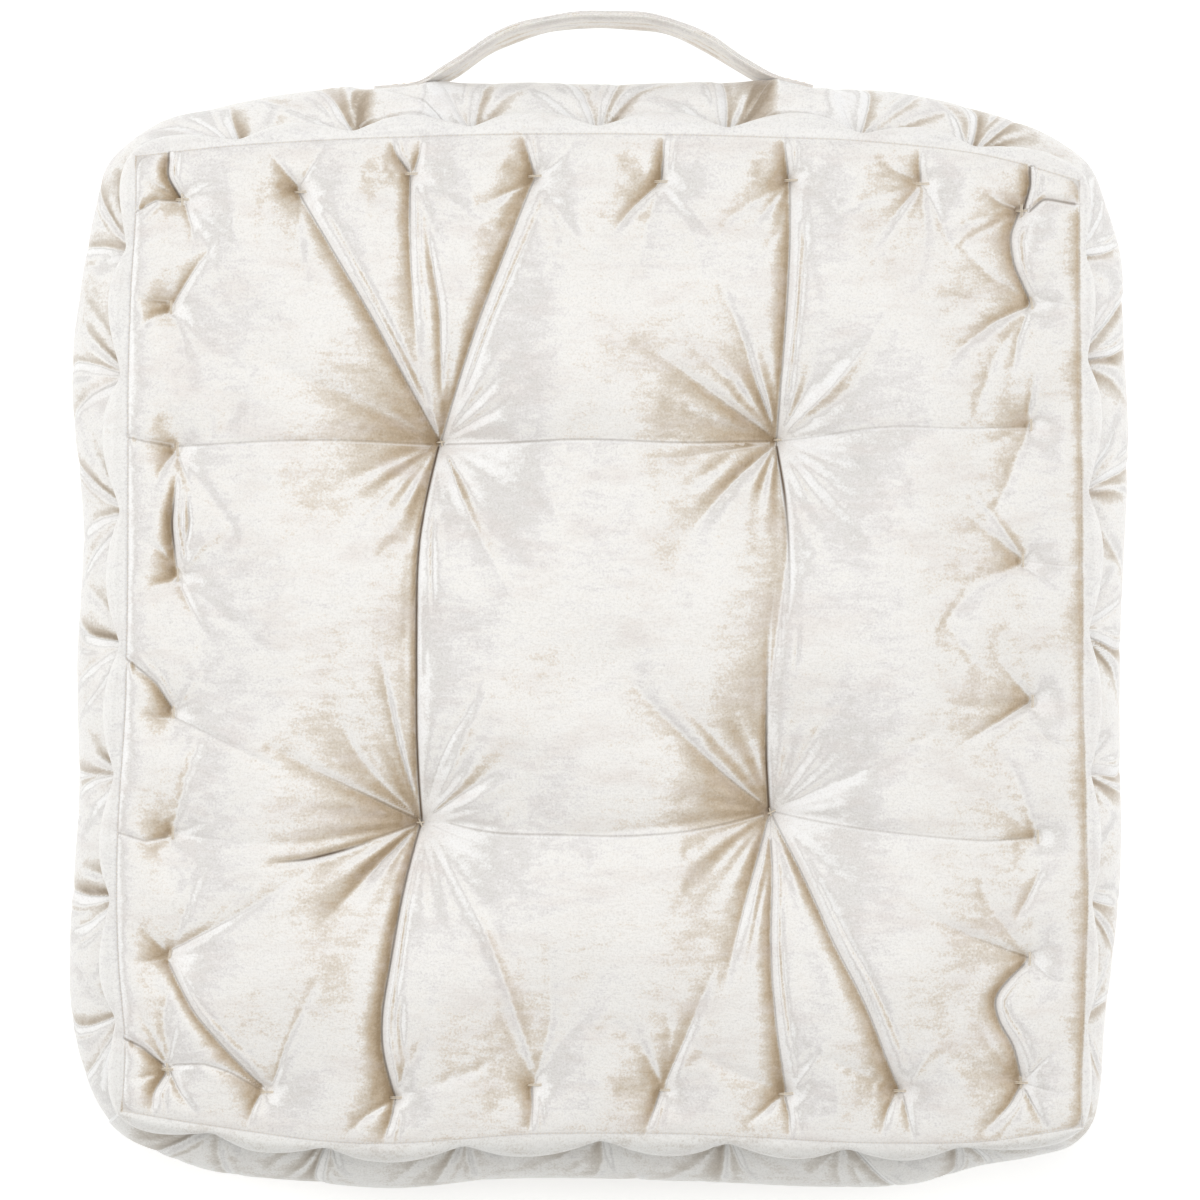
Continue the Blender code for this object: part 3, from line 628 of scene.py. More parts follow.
def inside_seam(plan):
    """Distance of a panel's points from the seam, rounded over the corners."""
    x, y = plan[..., 0], plan[..., 1]
    away = (
        y - seam_across("front", x),
        seam_across("rear", x) - y,
        x - seam_across("left", y),
        seam_across("right", y) - x,
    )
    return np.maximum(0, smooth_min([np.maximum(a, 0) for a in away], 3.0))


def dips(plan, places, reach):
    """Sum of depth * exp(-r / reach) over the places (x, y, depth), with a 1 mm round bottom."""
    total = np.zeros(plan.shape[:-1])
    for x, y, depth in places:
        r = np.sqrt((plan[..., 0] - x) ** 2 + (plan[..., 1] - y) ** 2 + 1)
        total += depth * np.exp(-r / reach)
    return total


def stitch_list():
    """All stitches of a panel. Those at the corners belong to two sides, and count once."""
    return sorted({p for side in FACE_STITCHES.values() for p in side})


def face_grid(plan, tufts=1.0, stitches=1.0, folds=1.0):
    """The face: the panel's section with its lumps, less the seam's groove, tufts, stitches and folds.

    The lumps fade out within 30 mm of the seam. The folds are the drawn ones, which fade to about a third
    at the seam, the rays round the tufts and the soft gathers. Tufts, stitches and folds can be scaled.
    """
    inside = inside_seam(plan)
    height = FACE_SEAM_Z / MM + hermite(PANEL_SECTION, inside)
    uneven = sum(lumps(plan[..., 0], plan[..., 1], *lump) for lump in FACE_LUMPS)
    height += (1 - np.exp(-inside / 30)) * uneven
    height -= tufts * dips(plan, TUFTS.values(), TUFT_REACH)
    height -= stitches * dips(plan, [(x, y, STITCH_DEPTH) for x, y in stitch_list()], STITCH_REACH)
    height -= SEAM_GROOVE_DEPTH * np.exp(-inside / SEAM_GROOVE_REACH)
    height += folds * (rays(plan) - fold_relief(plan, soft_gathers()))
    height -= FACE_RELIEF * folds * fold_relief(plan, FACE_FOLDS) * np.clip(inside / 4, 0.35, 1)
    return np.concatenate((plan, height[..., None]), -1)


def rays(plan):
    """Fine gathers round the tufts: waves round each, as high as exp(-((r - RAY_RADIUS) / RAY_SPREAD)^2)."""
    rng = np.random.default_rng(17)
    total = np.zeros(plan.shape[:-1])
    for x, y, _ in TUFTS.values():
        r = np.hypot(plan[..., 0] - x, plan[..., 1] - y)
        angle = np.arctan2(plan[..., 1] - y, plan[..., 0] - x)
        ring = np.exp(-(((r - RAY_RADIUS) / RAY_SPREAD) ** 2))
        for turns in RAY_TURNS:
            phase, height, bend = rng.uniform((0, RAY_LOW, -RAY_BEND), (2 * np.pi, RAY_HIGH, RAY_BEND))
            total += height * np.cos(turns * (angle + bend * r) + phase) * ring
    return total


def soft_gathers():
    """Broad shallow folds that spread from each stitch of the face towards the middle."""
    rng = np.random.default_rng(29)
    folds = []
    for place in stitch_list():
        inwards = np.arctan2(-place[1], -place[0])
        folds += fan(rng, np.array(place), inwards, *SOFT_GATHERS)
    return folds


def back_grid(plan):
    """The back: the face's plain twin, pressed flat on the floor, with a star of folds round each stitch."""
    inside = inside_seam(plan)
    swell = hermite(PANEL_SECTION, inside)
    swell += BACK_BULGE * np.clip((inside - BACK_BULGE_START) / BACK_BULGE_RUN, 0, 1)
    swell -= dips(plan, [(x, y, BACK_TUFT_DEPTH) for x, y, _ in TUFTS.values()], BACK_TUFT_REACH)
    swell -= dips(plan, [(x, y, STITCH_DEPTH) for x, y in stitch_list()], STITCH_REACH)
    rng = np.random.default_rng(11)
    stars = [fold for x, y, _ in TUFTS.values() for fold in star(rng, (x, y), *BACK_TUFT_STAR)]
    stars += [fold for place in stitch_list() for fold in star(rng, place, *BACK_STITCH_STAR)]
    swell -= BACK_RELIEF * fold_relief(plan, stars) * np.clip(inside / 4, 0, 1)
    height = np.maximum(0, BACK_SEAM_Z / MM - swell)
    return np.concatenate((plan, height[..., None]), -1)


def boxing_cloth(loop, rows):
    """Cloth coordinates of the boxing in millimetres: along the seam, and down from the face seam."""
    steps = np.hypot(*(np.roll(loop, -1, 0) - loop).T)
    along = np.concatenate(([0], np.cumsum(steps)[:-1]))
    down = np.linspace(0, 1, rows + 1) * BOXING_ARC / MM
    return np.stack(np.broadcast_arrays(along[None, :], -down[:, None]), -1), steps.sum()


def stitch_columns(edge_cells, gap_cells):
    """Places along the loop of a boxing grid that lie halfway between the face stitches, seven to a side."""
    side = 2 * edge_cells + GAPS * gap_cells
    return [s * side + edge_cells + gap_cells * n + gap_cells // 2 for s in range(4) for n in range(GAPS)]


def boxing_stitches(cloth, edge_cells, gap_cells, row):
    """Cloth places of a row of boxing stitches."""
    return [(cloth[0, c, 0], -row * BOXING_ARC / MM) for c in stitch_columns(edge_cells, gap_cells)]


def boxing_folds(top, bottom, length):
    """Folds of the boxing in cloth coordinates: two fans from each stitch, and a fold from it to the next."""
    rng = np.random.default_rng(5)
    folds = []
    for row, inwards in ((top, 1), (bottom, -1)):
        for numbers, side in zip(BOXING_FANS.values(), (inwards, -inwards)):
            for place in row:
                folds += fan(rng, np.array(place), side * np.pi / 2, *numbers)
        for (x, y), (after, _) in zip(row, row[1:] + [(row[0][0] + length, 0)]):
            half = ((x + after) / 2, y - LINK_SAG * inwards)
            folds.append((LINK_DEPTH, LINK_WIDTH, "held", (x, y), half, (after, y)))
    return folds


def rounded_seam(loop, length, reach):
    """The seam with rounded corners: means of its points, weighted by exp(-d^2 / 2 CORNER_ROUNDING^2)."""
    steps = np.arange(-reach, reach + 1)
    weights = np.exp(-0.5 * (steps / (CORNER_ROUNDING / (length / len(loop)))) ** 2)
    return sum(w * np.roll(loop, n, 0) for w, n in zip(weights / weights.sum(), steps))


def outward_of(loop):
    """Unit vectors in plan that point outwards from a closed line, which runs front, right, rear, left."""
    ahead = np.roll(loop, -1, 0) - np.roll(loop, 1, 0)
    outward = np.column_stack((ahead[:, 1], -ahead[:, 0]))
    return outward / np.hypot(*outward.T)[:, None]


def boxing_grid(plan, edge_cells, gap_cells, rows, folds=1.0):
    """The boxing from the face seam to the back seam, indexed [row down, place along the loop].

    A point lies between the seam line, rounded away from the seams, and the bulge line by the section's
    outset. Each stitch pinches the outset by PINCH exp(-d / PINCH_REACH). Lumps and folds then draw the
    point in, the folds less at the seams and by half on the widest line. Near the face seam the height also
    follows the folds of the face.
    """
    loop = rim(plan)
    cloth, length = boxing_cloth(loop, rows)
    bulge = bulge_line(loop)
    share = np.linspace(0, 1, rows + 1)
    from_seams = np.minimum(share, 1 - share)
    outset = hermite([(s, o) for s, o, _ in BOXING_SECTION], share)[:, None, None]
    drop = hermite([(s, d) for s, _, d in BOXING_SECTION], share)[:, None]
    top, bottom = (boxing_stitches(cloth, edge_cells, gap_cells, r) for r in BOXING_STITCH_ROWS)
    creases = boxing_folds(top, bottom, length)
    pinched, pulled = np.zeros((2, *cloth.shape[:-1]))
    for shift in ((-length, 0), (0, 0), (length, 0)):
        here = cloth + shift
        for (x, _), row in zip(top + bottom, np.repeat(PINCH_ROWS, len(top))):
            across = np.exp(-(((share - row) / PINCH_SPREAD) ** 2))[:, None]
            apart = np.sqrt((here[..., 0] - x) ** 2 + 6) - 2.4  # rounded at the stitch
            pinched += PINCH * across * np.exp(-apart / PINCH_REACH)
        pulled += folds * fold_relief(here, creases)
    away = 1 - np.exp(-((12 * from_seams) ** 2))[:, None, None]
    base = loop + away * (rounded_seam(loop, length, 4 * gap_cells // 5) - loop)
    level = base + outset * (1 - np.minimum(MOST_PINCH, pinched))[..., None] * (bulge - base)
    pulled *= (np.minimum(1, 11 * from_seams) - 0.5 * np.exp(-(((share - 0.5) / 0.13) ** 2)))[:, None]
    pulled += np.sin(np.pi * share)[:, None] * lumps(cloth[..., 0], cloth[..., 1], *BOXING_LUMPS)
    level = level - pulled[..., None] * outward_of(bulge)
    over_edge = np.exp(-((share[:, None] / OVER_EDGE_REACH) ** 2))
    height = FACE_SEAM_Z / MM - drop
    height = height - FACE_RELIEF * OVER_EDGE_RELIEF * over_edge * fold_relief(level, FACE_FOLDS)
    return np.concatenate((level, height[..., None]), -1)


def cover_mesh(name, face, boxing, back=None):
    """One mesh from the cuts, which share the points of their seams. Grids are in metres.

    The back is coarser than the rest: the faces along its border take in all points of the seam, which
    "between" gives for each pair of neighbours on the border.
    """
    rows, columns = face.shape[:2]
    index = np.arange(rows * columns).reshape(rows, columns)
    faces = [np.stack((index[:-1, :-1], index[:-1, 1:], index[1:, 1:], index[1:, :-1]), -1).reshape(-1, 4)]
    points = [face.reshape(-1, 3), boxing[1:].reshape(-1, 3)]
    loop = boxing.shape[1]
    below = rows * columns + np.arange((len(boxing) - 1) * loop).reshape(-1, loop)
    strip = np.concatenate((rim(index)[None], below))
    after = np.roll(strip, -1, 1)
    faces.append(np.stack((strip[:-1], strip[1:], after[1:], after[:-1]), -1).reshape(-1, 4))
    polygons = np.concatenate(faces).tolist()
    if back is not None:
        used = sum(map(len, points))
        n = back.shape[0]
        spot = np.full((n, n), -1)
        parts = loop // (4 * n - 4)
        border = strip[-1, ::parts]
        spot[0, :-1], spot[:-1, -1] = border[: n - 1], border[n - 1 : 2 * n - 2]
        spot[-1, :0:-1], spot[:0:-1, 0] = border[2 * n - 2 : 3 * n - 3], border[3 * n - 3 :]
        middle = spot < 0
        spot[middle] = used + np.arange(middle.sum())
        points.append(back[middle])
        between = {}
        for a, b, inner in zip(border, np.roll(border, -1), strip[-1].reshape(-1, parts)[:, 1:].tolist()):
            between[a, b], between[b, a] = inner, inner[::-1]
        quads = np.stack((spot[:-1, :-1], spot[1:, :-1], spot[1:, 1:], spot[:-1, 1:]), -1).reshape(-1, 4)
        for quad in quads.tolist():
            ring = []
            for a, b in zip(quad, quad[1:] + quad[:1]):
                ring += [a, *between.get((a, b), ())]
            polygons.append(ring)
    mesh = bpy.data.meshes.new(name)
    mesh.from_pydata(np.concatenate(points).tolist(), [], polygons)
    mesh.shade_smooth()
    return mesh


def held_points(plan, columns):
    """The cloth points that are held, by index: at the tufts and stitches, and along the back seam.

    "columns" is the number of points round the boxing.
    """
    flat = plan.reshape(-1, 2)
    held = np.zeros(len(flat) + BOXING_CELLS * columns, bool)
    for x, y, *_ in [*TUFTS.values(), *stitch_list()]:
        away = np.hypot(*(flat - (x, y)).T)
        held[: len(flat)][away <= max(away.min() + 0.1, HELD_REACH)] = True
    rows = held[len(flat):].reshape(-1, columns)
    for row in BOXING_STITCH_ROWS:
        rows[round(row * BOXING_CELLS) - 1, stitch_columns(EDGE_CELLS, GAP_CELLS)] = True
    rows[-1] = True
    return np.flatnonzero(held)


def settle(face, boxing, rest_face, rest_boxing, plan):
    """Lets the cover settle as cloth over its filling, and returns its two grids.

    The cloth is cut a little fuller than it lies, held at the tufts, the stitches and the back seam, and
    blown out by the filling. A point moves by MOST_MOVE tanh(d / MOST_MOVE) in place of d.
    """
    mesh = cover_mesh("settling_cover", face, boxing)
    cover = bpy.data.objects.new("settling_cover", mesh)
    bpy.context.scene.collection.objects.link(cover)
    cover.shape_key_add(name="Basis")
    cut = cover.shape_key_add(name="Cut")
    fuller = np.concatenate((rest_face.reshape(-1, 3), rest_boxing[1:].reshape(-1, 3)))
    cut.data.foreach_set("co", fuller.ravel())
    cover.vertex_groups.new(name="Held").add(held_points(plan, boxing.shape[1]).tolist(), 1.0, "REPLACE")
    cloth = cover.modifiers.new("Cloth", "CLOTH")
    velvet = cloth.settings
    velvet.quality = 5
    velvet.mass = 0.3
    velvet.tension_stiffness = velvet.compression_stiffness = 25
    velvet.shear_stiffness = 8
    velvet.bending_stiffness = 0.02
    velvet.tension_damping = velvet.compression_damping = velvet.shear_damping = 5
    velvet.bending_damping = 0.5
    velvet.vertex_group_mass = "Held"
    velvet.pin_stiffness = 1
    velvet.use_pressure = True
    velvet.uniform_pressure_force = FILLING_PRESSURE
    velvet.effector_weights.gravity = 0
    velvet.rest_shape_key = cut
    cloth.collision_settings.use_collision = False
    cloth.collision_settings.use_self_collision = False
    cloth.point_cache.frame_end = SETTLE_STEPS
    for step in range(1, SETTLE_STEPS + 1):
        bpy.context.scene.frame_set(step)
    settled = cover.evaluated_get(bpy.context.evaluated_depsgraph_get()).data
    points = np.empty(len(mesh.vertices) * 3)
    settled.vertices.foreach_get("co", points)
    bpy.context.scene.frame_set(1)
    bpy.data.objects.remove(cover)
    start = np.concatenate((face.reshape(-1, 3), boxing[1:].reshape(-1, 3)))
    move = points.reshape(-1, 3) - start
    far = np.linalg.norm(move, axis=1, keepdims=True)
    points = start + move * MOST_MOVE * np.tanh(far / MOST_MOVE) / np.maximum(far, 1e-9)
    new_face, below = points[: plan[..., 0].size].reshape(face.shape), points[plan[..., 0].size:]
    return new_face, np.concatenate((rim(new_face)[None], below.reshape(-1, boxing.shape[1], 3)))


def finer_panel(grid):
    """A panel's grid with each cell divided by FINER both ways."""
    return refine(refine(grid, 0, FINER), 1, FINER)


def build_cover():
    """The finished cover: its drawn form on the fine grid, moved as far as the settling moved the coarse one.

    Its back seam follows the coarse border of the back.
    """
    plan = panel_plan(EDGE_CELLS, GAP_CELLS)
    fine_plan = finer_panel(plan)
    fine_face = face_grid(fine_plan) * MM
    fine_cells = (FINER * EDGE_CELLS, FINER * GAP_CELLS, FINER_DOWN * BOXING_CELLS)
    fine_boxing = boxing_grid(fine_plan, *fine_cells) * MM
    cells = (EDGE_CELLS, GAP_CELLS, BOXING_CELLS)
    face = face_grid(plan) * MM
    boxing = boxing_grid(plan, *cells) * MM
    rest_face = face_grid(plan, tufts=0.3, stitches=0.3, folds=1.2) * MM
    rest_boxing = boxing_grid(plan, *cells, folds=1.2) * MM
    moved_face, moved_boxing = settle(face, boxing, rest_face, rest_boxing, plan)
    fine_face += finer_panel(moved_face - face)
    fine_boxing += refine(refine(moved_boxing - boxing, 0, FINER_DOWN), 1, FINER, closed=True)
    seat_tabs(fine_boxing)
    fine_boxing[0] = rim(fine_face)
    back = back_grid(plan) * MM
    edge = rim(back)
    for n in range(FINER):
        fine_boxing[-1, n::FINER] = edge + n / FINER * (np.roll(edge, -1, 0) - edge)
    mesh = cover_mesh("cushion_cover", fine_face, fine_boxing, back)
    store_painted_shade(mesh, fine_boxing, fine_plan)
    return mesh, fine_face, fine_boxing, back


def seat_tabs(boxing):
    """Presses the boxing flat under the ends of the strap, fading round them as exp(-(d / TAB_FADE)^2)."""
    x, y, z = np.moveaxis(boxing, -1, 0)
    for side in (-1, 1):
        seat = strap_y(x) - TAB_THICKNESS / 2 + TAB_SINK
        off = np.maximum(0, np.abs(x - side * TAB_MIDDLE) - TAB_HALF_LENGTH)
        high = np.maximum(0, np.abs(z - STRAP_Z) - STRAP_WIDTH / 2)
        near = np.exp(-(off**2 + high**2) / TAB_FADE**2) * (y > REAR_Y)
        y += near * (seat - y)


def painted_slope_shade(normals, boxing, plan):
    """Painted shade and highlight by slope for each point of the cover, and the painted shade that greys the
    boxing.

    A panel is painted darker where it slopes to +X, away from the key lamp, and lighter where it slopes to
    -X, less most of what its broad crown alone would give, except near the seam. On the bulge of the boxing
    it is painted darker by the lean of its normal along the loop, less so at the front and round the ends of
    the strap.
    """
    # lean is painted shade and highlight: beige where the surface faces away from the key lamp, white where
    # it faces it.
    lean = normals @ PANEL_SHADE_AXIS
    first, last = plan[..., 0].size, plan[..., 0].size + boxing[1:, :, 0].size
    inside = inside_seam(plan)
    crown = np.gradient(hermite(PANEL_SECTION, inside), axis=1) / np.gradient(plan[..., 0], axis=1)
    lean[:first] += (CROWN_SHARE * crown * (1 - np.exp(-((inside / CROWN_SEAM_REACH) ** 2)))).ravel()
    belt = boxing[len(boxing) // 2, :, :2]
    along = sum(np.roll(belt, -n, 0) - np.roll(belt, n, 0) for n in (6, 12, 18, 24))
    along /= np.linalg.norm(along, axis=1)[:, None]
    sides = normals[first:last, :2].reshape(-1, *along.shape)
    share = np.linspace(0, 1, len(boxing))[1:, None]
    on_bulge = np.clip((np.minimum(share, 1 - share) - 0.08) / 0.22, 0, 1)
    forward, leftward = np.maximum(0, along[:, 0]) ** 2, np.maximum(0, -along[:, 1]) ** 2
    x, y, z = np.moveaxis(boxing[1:], -1, 0)
    from_tabs = ((np.abs(x) - TAB_UNSHADED_X) / TAB_UNSHADED_REACH) ** 2
    near_tabs = np.exp(-from_tabs - ((z - STRAP_Z) / TAB_UNSHADED_REACH) ** 2) * (y > REAR_Y)
    # Painted slope shade of the boxing along its loop, none round the strap's ends, shifted darker at its
    # front.
    gain = ROLL_GAIN + (BULGE_GAIN - FRONT_LOSS * forward) * on_bulge
    boxing_lean = gain * (sides * along).sum(-1) * (1 - near_tabs) + BOXING_OFFSET + FRONT_OFFSET * forward
    lean[first:last] = boxing_lean.ravel()
    lean[last:] *= BACK_SHADE_SHARE
    # Painted shade that greys and darkens the boxing, most at its front and on its left.
    shade_greying = np.zeros(len(normals))
    shade_greying[first:last] = np.tile(BOXING_SHADE + FRONT_SHADE * forward + LEFT_SHADE * leftward, len(boxing) - 1)
    return lean, shade_greying


def cover_creases(count, boxing, plan):
    """How sharply each of the cover's points is creased, and how far right of the crease it is, for the
    crease lines that the velvet paints as shade and highlight.

    Round both seams their own crease counts where it is the sharper one. The back has none of its own.
    "count" is the number of points.
    """
    inside = inside_seam(plan)
    cloth, length = boxing_cloth(rim(plan), len(boxing) - 1)
    rows = (boxing_stitches(cloth, FINER * EDGE_CELLS, FINER * GAP_CELLS, r) for r in BOXING_STITCH_ROWS)
    folds = boxing_folds(*rows, length)
    around = np.array([crease_lines(cloth[1:] + (shift, 0), folds) for shift in (-length, 0, length)])
    sharpest = around[:, 0].argmax(0)[None]
    band_sharp, band_side = (np.take_along_axis(around[:, n], sharpest, 0)[0] for n in (0, 1))
    share = np.linspace(0, 1, len(boxing))[1:, None]
    from_seams = np.broadcast_to(BOXING_ARC / MM * np.minimum(share, 1 - share), band_sharp.shape)
    crease, crease_side = np.zeros((2, count))
    used = 0
    for near, sharp, side in (
        (inside, *crease_lines(plan, FACE_FOLDS)),
        (from_seams, BOXING_SHARPNESS * band_sharp, band_side),
    ):
        part = slice(used, used + near.size)
        seam = SEAM_SHARPNESS * np.exp(-((near / CREASE_REACH) ** 2))
        crease[part] = np.maximum(sharp, seam).ravel()
        crease_side[part] = np.where(seam > sharp, -near, side).ravel()
        used += near.size
    return crease, crease_side


def store_painted_shade(mesh, boxing, plan):
    """Stores the painted shade and highlight of each point of the cover: "shade_and_nap", "shade", "crease"
    and "crease_side".
    """
    count = len(mesh.vertices)
    normals = np.empty(count * 3)
    mesh.vertex_normals.foreach_get("vector", normals)
    shown = (*painted_slope_shade(normals.reshape(-1, 3), boxing, plan), *cover_creases(count, boxing, plan))
    for name, values in zip(("shade_and_nap", "shade", "crease", "crease_side"), shown):
        mesh.attributes.new(name, "FLOAT", "POINT").data.foreach_set("value", values)


# ---------------------------------------------------------------- strap and threads


def strap_y(x):
    """Where the middle line of the strap runs at x, in metres."""
    return hermite(STRAP_LINE, np.asarray(x) / MM) * MM


def build_strap():
    """The strap and its length: a tube swept along its line, with the section |u|^p + |v|^p = 1.

    Its long edges are folded in, so each has a groove between two lips, and each side has a sewn groove near
    its edges. It leans out by STRAP_LEAN where it is free, and is thinner where it is sewn down. Three sine
    waves of random height make it uneven. Its "shade_and_nap" value has ribs that wind round it, and paints
    the side that faces the cushion darker, as painted shade.
    """
    x = np.linspace(STRAP_LINE[0][0], STRAP_LINE[-1][0], STRAP_STATIONS) * MM
    line = np.column_stack((x, strap_y(x)))
    ahead = np.gradient(line, axis=0)
    ahead /= np.hypot(*ahead.T)[:, None]
    out = np.column_stack((-ahead[:, 1], ahead[:, 0]))
    turn = np.linspace(0, 2 * np.pi, STRAP_POINTS, endpoint=False)
    size = np.abs(np.cos(turn)) ** STRAP_SQUARENESS + np.abs(np.sin(turn)) ** STRAP_SQUARENESS
    size = size ** (-1 / STRAP_SQUARENESS)
    u, v = np.cos(turn) * size, np.sin(turn) * size
    thick, high = u * STRAP_THICKNESS / 2, v * STRAP_WIDTH / 2
    folded_in = np.exp(-((thick / EDGE_GROOVE_REACH) ** 2)) * (np.abs(v) > 0.9)
    high -= np.sign(v) * EDGE_GROOVE_DEPTH * folded_in
    sewn = np.exp(-(((np.abs(high) - SEWN_GROOVE_HEIGHT) / SEWN_GROOVE_REACH) ** 2)) * (np.abs(u) > 0.5)
    thick = thick * (1 - SEWN_GROOVE_SHARE * sewn)
    rng = np.random.default_rng(21)
    uneven = sum(rng.uniform(-0.5, 0.5) * np.sin(2 * np.pi * (x / w + rng.uniform())) for w in STRAP_WAVES)
    free = 1 / (1 + np.exp((np.abs(x) - LIFT_X) / LIFT_RUN))
    lean = STRAP_LEAN * free * (1 + 0.3 * uneven)
    thin = TAB_THICKNESS / STRAP_THICKNESS
    thick = thick * (thin + (1 - thin) * free)[:, None]
    across = thick * np.cos(lean)[:, None] + high[None] * np.sin(lean)[:, None]
    up = high[None] * np.cos(lean)[:, None] - thick * np.sin(lean)[:, None]
    across = across * (1 + 0.10 * uneven * free)[:, None]
    rings = np.empty((len(x), len(turn), 3))
    rings[..., :2] = line[:, None] + across[..., None] * out[:, None]
    rings[..., 2] = STRAP_Z + up + 0.0006 * (uneven * free)[:, None]
    mesh = tube_mesh("carry_strap_velvet", [rings])
    ribs = np.sin(2 * np.pi * (u * STRAP_THICKNESS / RIB_PITCH_THROUGH + v * STRAP_WIDTH / RIB_PITCH_UP))
    # -0.12 u is painted shade on the side that faces the cushion.
    shade_and_nap = 0.18 * ribs - 0.12 * u - 0.10 + 0.22 * uneven[:, None]
    mesh.attributes.new("shade_and_nap", "FLOAT", "POINT").data.foreach_set("value", shade_and_nap.ravel())
    return mesh, np.hypot(*np.diff(line, axis=0).T).sum()


def tube_mesh(name, tubes):
    """One mesh of closed tubes, each given as rings [station, point round it, xyz]."""
    points, polygons, used = [], [], 0
    for rings in tubes:
        stations, around = rings.shape[:2]
        index = used + np.arange(stations * around).reshape(stations, around)
        after = np.roll(index, -1, 1)
        quads = np.stack((index[:-1], after[:-1], after[1:], index[1:]), -1).reshape(-1, 4)
        polygons += quads.tolist() + [index[0, ::-1].tolist(), index[-1].tolist()]
        points.append(rings.reshape(-1, 3))
        used += stations * around
    mesh = bpy.data.meshes.new(name)
    mesh.from_pydata(np.concatenate(points).tolist(), [], polygons)
    mesh.shade_smooth()
    return mesh


def thread(start, end, up, radius, rise=0.5):
    """Rings of one stitch: an arc from start to end that rises by a share of its radius over the surface.

    With t from -1 to 1 along it, it rises by radius * (rise - 3 t^4), so both ends go into the cloth.
    """
    start, end, up = (np.asarray(p, float) for p in (start, end, up))
    s = np.linspace(0, 1, 7)[:, None]
    line = start + s * (end - start) + up * radius * (rise - 3 * (2 * s - 1) ** 4)
    ahead = (end - start) / np.linalg.norm(end - start)
    side = np.cross(up, ahead)
    side /= np.linalg.norm(side)
    over = np.cross(ahead, side)
    turn = np.linspace(0, 2 * np.pi, 6, endpoint=False)
    ring = radius * (np.cos(turn)[:, None] * side + np.sin(turn)[:, None] * over)
    return line[:, None] + ring[None]


def panel_threads(grid, plan, normal):
    """The bars along a panel's edge, each of two threads, and the crossed ties in its tufts.

    Each end is at the grid point whose plan is nearest. A tie whose two ends meet there is left out.
    """
    stitches = []
    flat = plan.reshape(-1, 2)
    solid = grid.reshape(-1, 3)
    for side, places in FACE_STITCHES.items():
        along = np.array((1.0, 0)) if side in ("front", "rear") else np.array((0, 1.0))
        aside = np.array((along[1], along[0], 0)) * BAR_LANE
        half = along * BAR_HALF_LENGTH
        for place in places:
            start, end = (solid[np.hypot(*(flat - place - reach).T).argmin()] for reach in (-half, half))
            for lane in (-aside, aside):
                stitches.append(thread(start + lane, end + lane, normal, BAR_RADIUS, 1.0))
    for x, y, _ in TUFTS.values():
        for dx, dy in TIE_ARMS:
            start, end = (solid[np.hypot(*(flat - (x + e * dx, y + e * dy)).T).argmin()] for e in (-1, 1))
            if (start != end).any():
                stitches.append(thread(start, end, normal, TIE_RADIUS, 2))
    return stitches


def boxing_threads(boxing, outward):
    """The bars in both rows of boxing stitches."""
    stitches = []
    for row in BOXING_STITCH_ROWS:
        line = boxing[round(row * (len(boxing) - 1))]
        for c in stitch_columns(FINER * EDGE_CELLS, FINER * GAP_CELLS):
            for lane in (-BAR_LANE, BAR_LANE):
                shift = np.array((0, 0, lane))
                start, end = line[c - BAR_CELLS] + shift, line[(c + BAR_CELLS) % len(line)] + shift
                stitches.append(thread(start, end, outward[c], BAR_RADIUS, 1.0))
    return stitches


def seam_threads(line, outward, normal):
    """Short stitches all along a seam."""
    stitches = []
    for c in range(0, len(line) - 1, SEAM_STITCH_CELLS):
        up = outward[c] * 0.5 + normal
        end = line[c] + SEAM_STITCH_SHARE * (line[c + 1] - line[c])
        stitches.append(thread(line[c], end, up / np.linalg.norm(up), SEAM_RADIUS))
    return stitches


def cross_threads(side):
    """The boxed cross that sews one end of the strap down: the four sides of a box and its diagonals."""
    stitches = []
    (x0, z0), (x1, z1) = CROSS_LOW, CROSS_HIGH
    a, b, c, d = (x0, z0), (x1, z0), (x1, z1), (x0, z1)
    for (from_x, from_z), (to_x, to_z) in ((a, b), (b, c), (c, d), (d, a), (a, c), (b, d)):
        count = max(3, round(np.hypot(to_x - from_x, to_z - from_z) / CROSS_PITCH))
        for n in range(count):
            ends = []
            for f in ((n + CROSS_GAP) / count, (n + 1 - CROSS_GAP) / count):
                x = side * (from_x + f * (to_x - from_x))
                ends.append((x, strap_y(x) + TAB_THICKNESS / 2, STRAP_Z + from_z + f * (to_z - from_z)))
            stitches.append(thread(*ends, (0, 1, 0), CROSS_RADIUS, 0.4))
    return stitches


def build_threads(face, boxing, back):
    """Every stitch that shows: the bars, the ties in the tufts, both seams and the crosses of the strap."""
    plan = panel_plan(EDGE_CELLS, GAP_CELLS)
    up, down = np.array((0, 0, 1.0)), np.array((0, 0, -1.0))
    outward = outward_of(boxing[len(boxing) // 2, :, :2])
    outward = np.column_stack((outward, np.zeros(len(outward))))
    stitches = panel_threads(face, finer_panel(plan), up) + panel_threads(back, plan, down)
    stitches += boxing_threads(boxing, outward)
    stitches += seam_threads(boxing[0], outward, up) + seam_threads(boxing[-1], outward, down)
    stitches += cross_threads(-1) + cross_threads(1)
    return tube_mesh("stitching_thread", stitches)


# ---------------------------------------------------------------- materials


def linear(colour):
    """An sRGB hex value such as "f2efe8" as linear red, green, blue and alpha."""
    srgb = np.array([int(colour[n : n + 2], 16) for n in (0, 2, 4)]) / 255
    rgb = np.where(srgb <= 0.04045, srgb / 12.92, ((srgb + 0.055) / 1.055) ** 2.4)
    return (*rgb.tolist(), 1.0)


def material(name):
    """A new material, its node tree and its shader."""
    made = bpy.data.materials.new(name)
    made.use_nodes = True
    return made, made.node_tree, made.node_tree.nodes["Principled BSDF"]


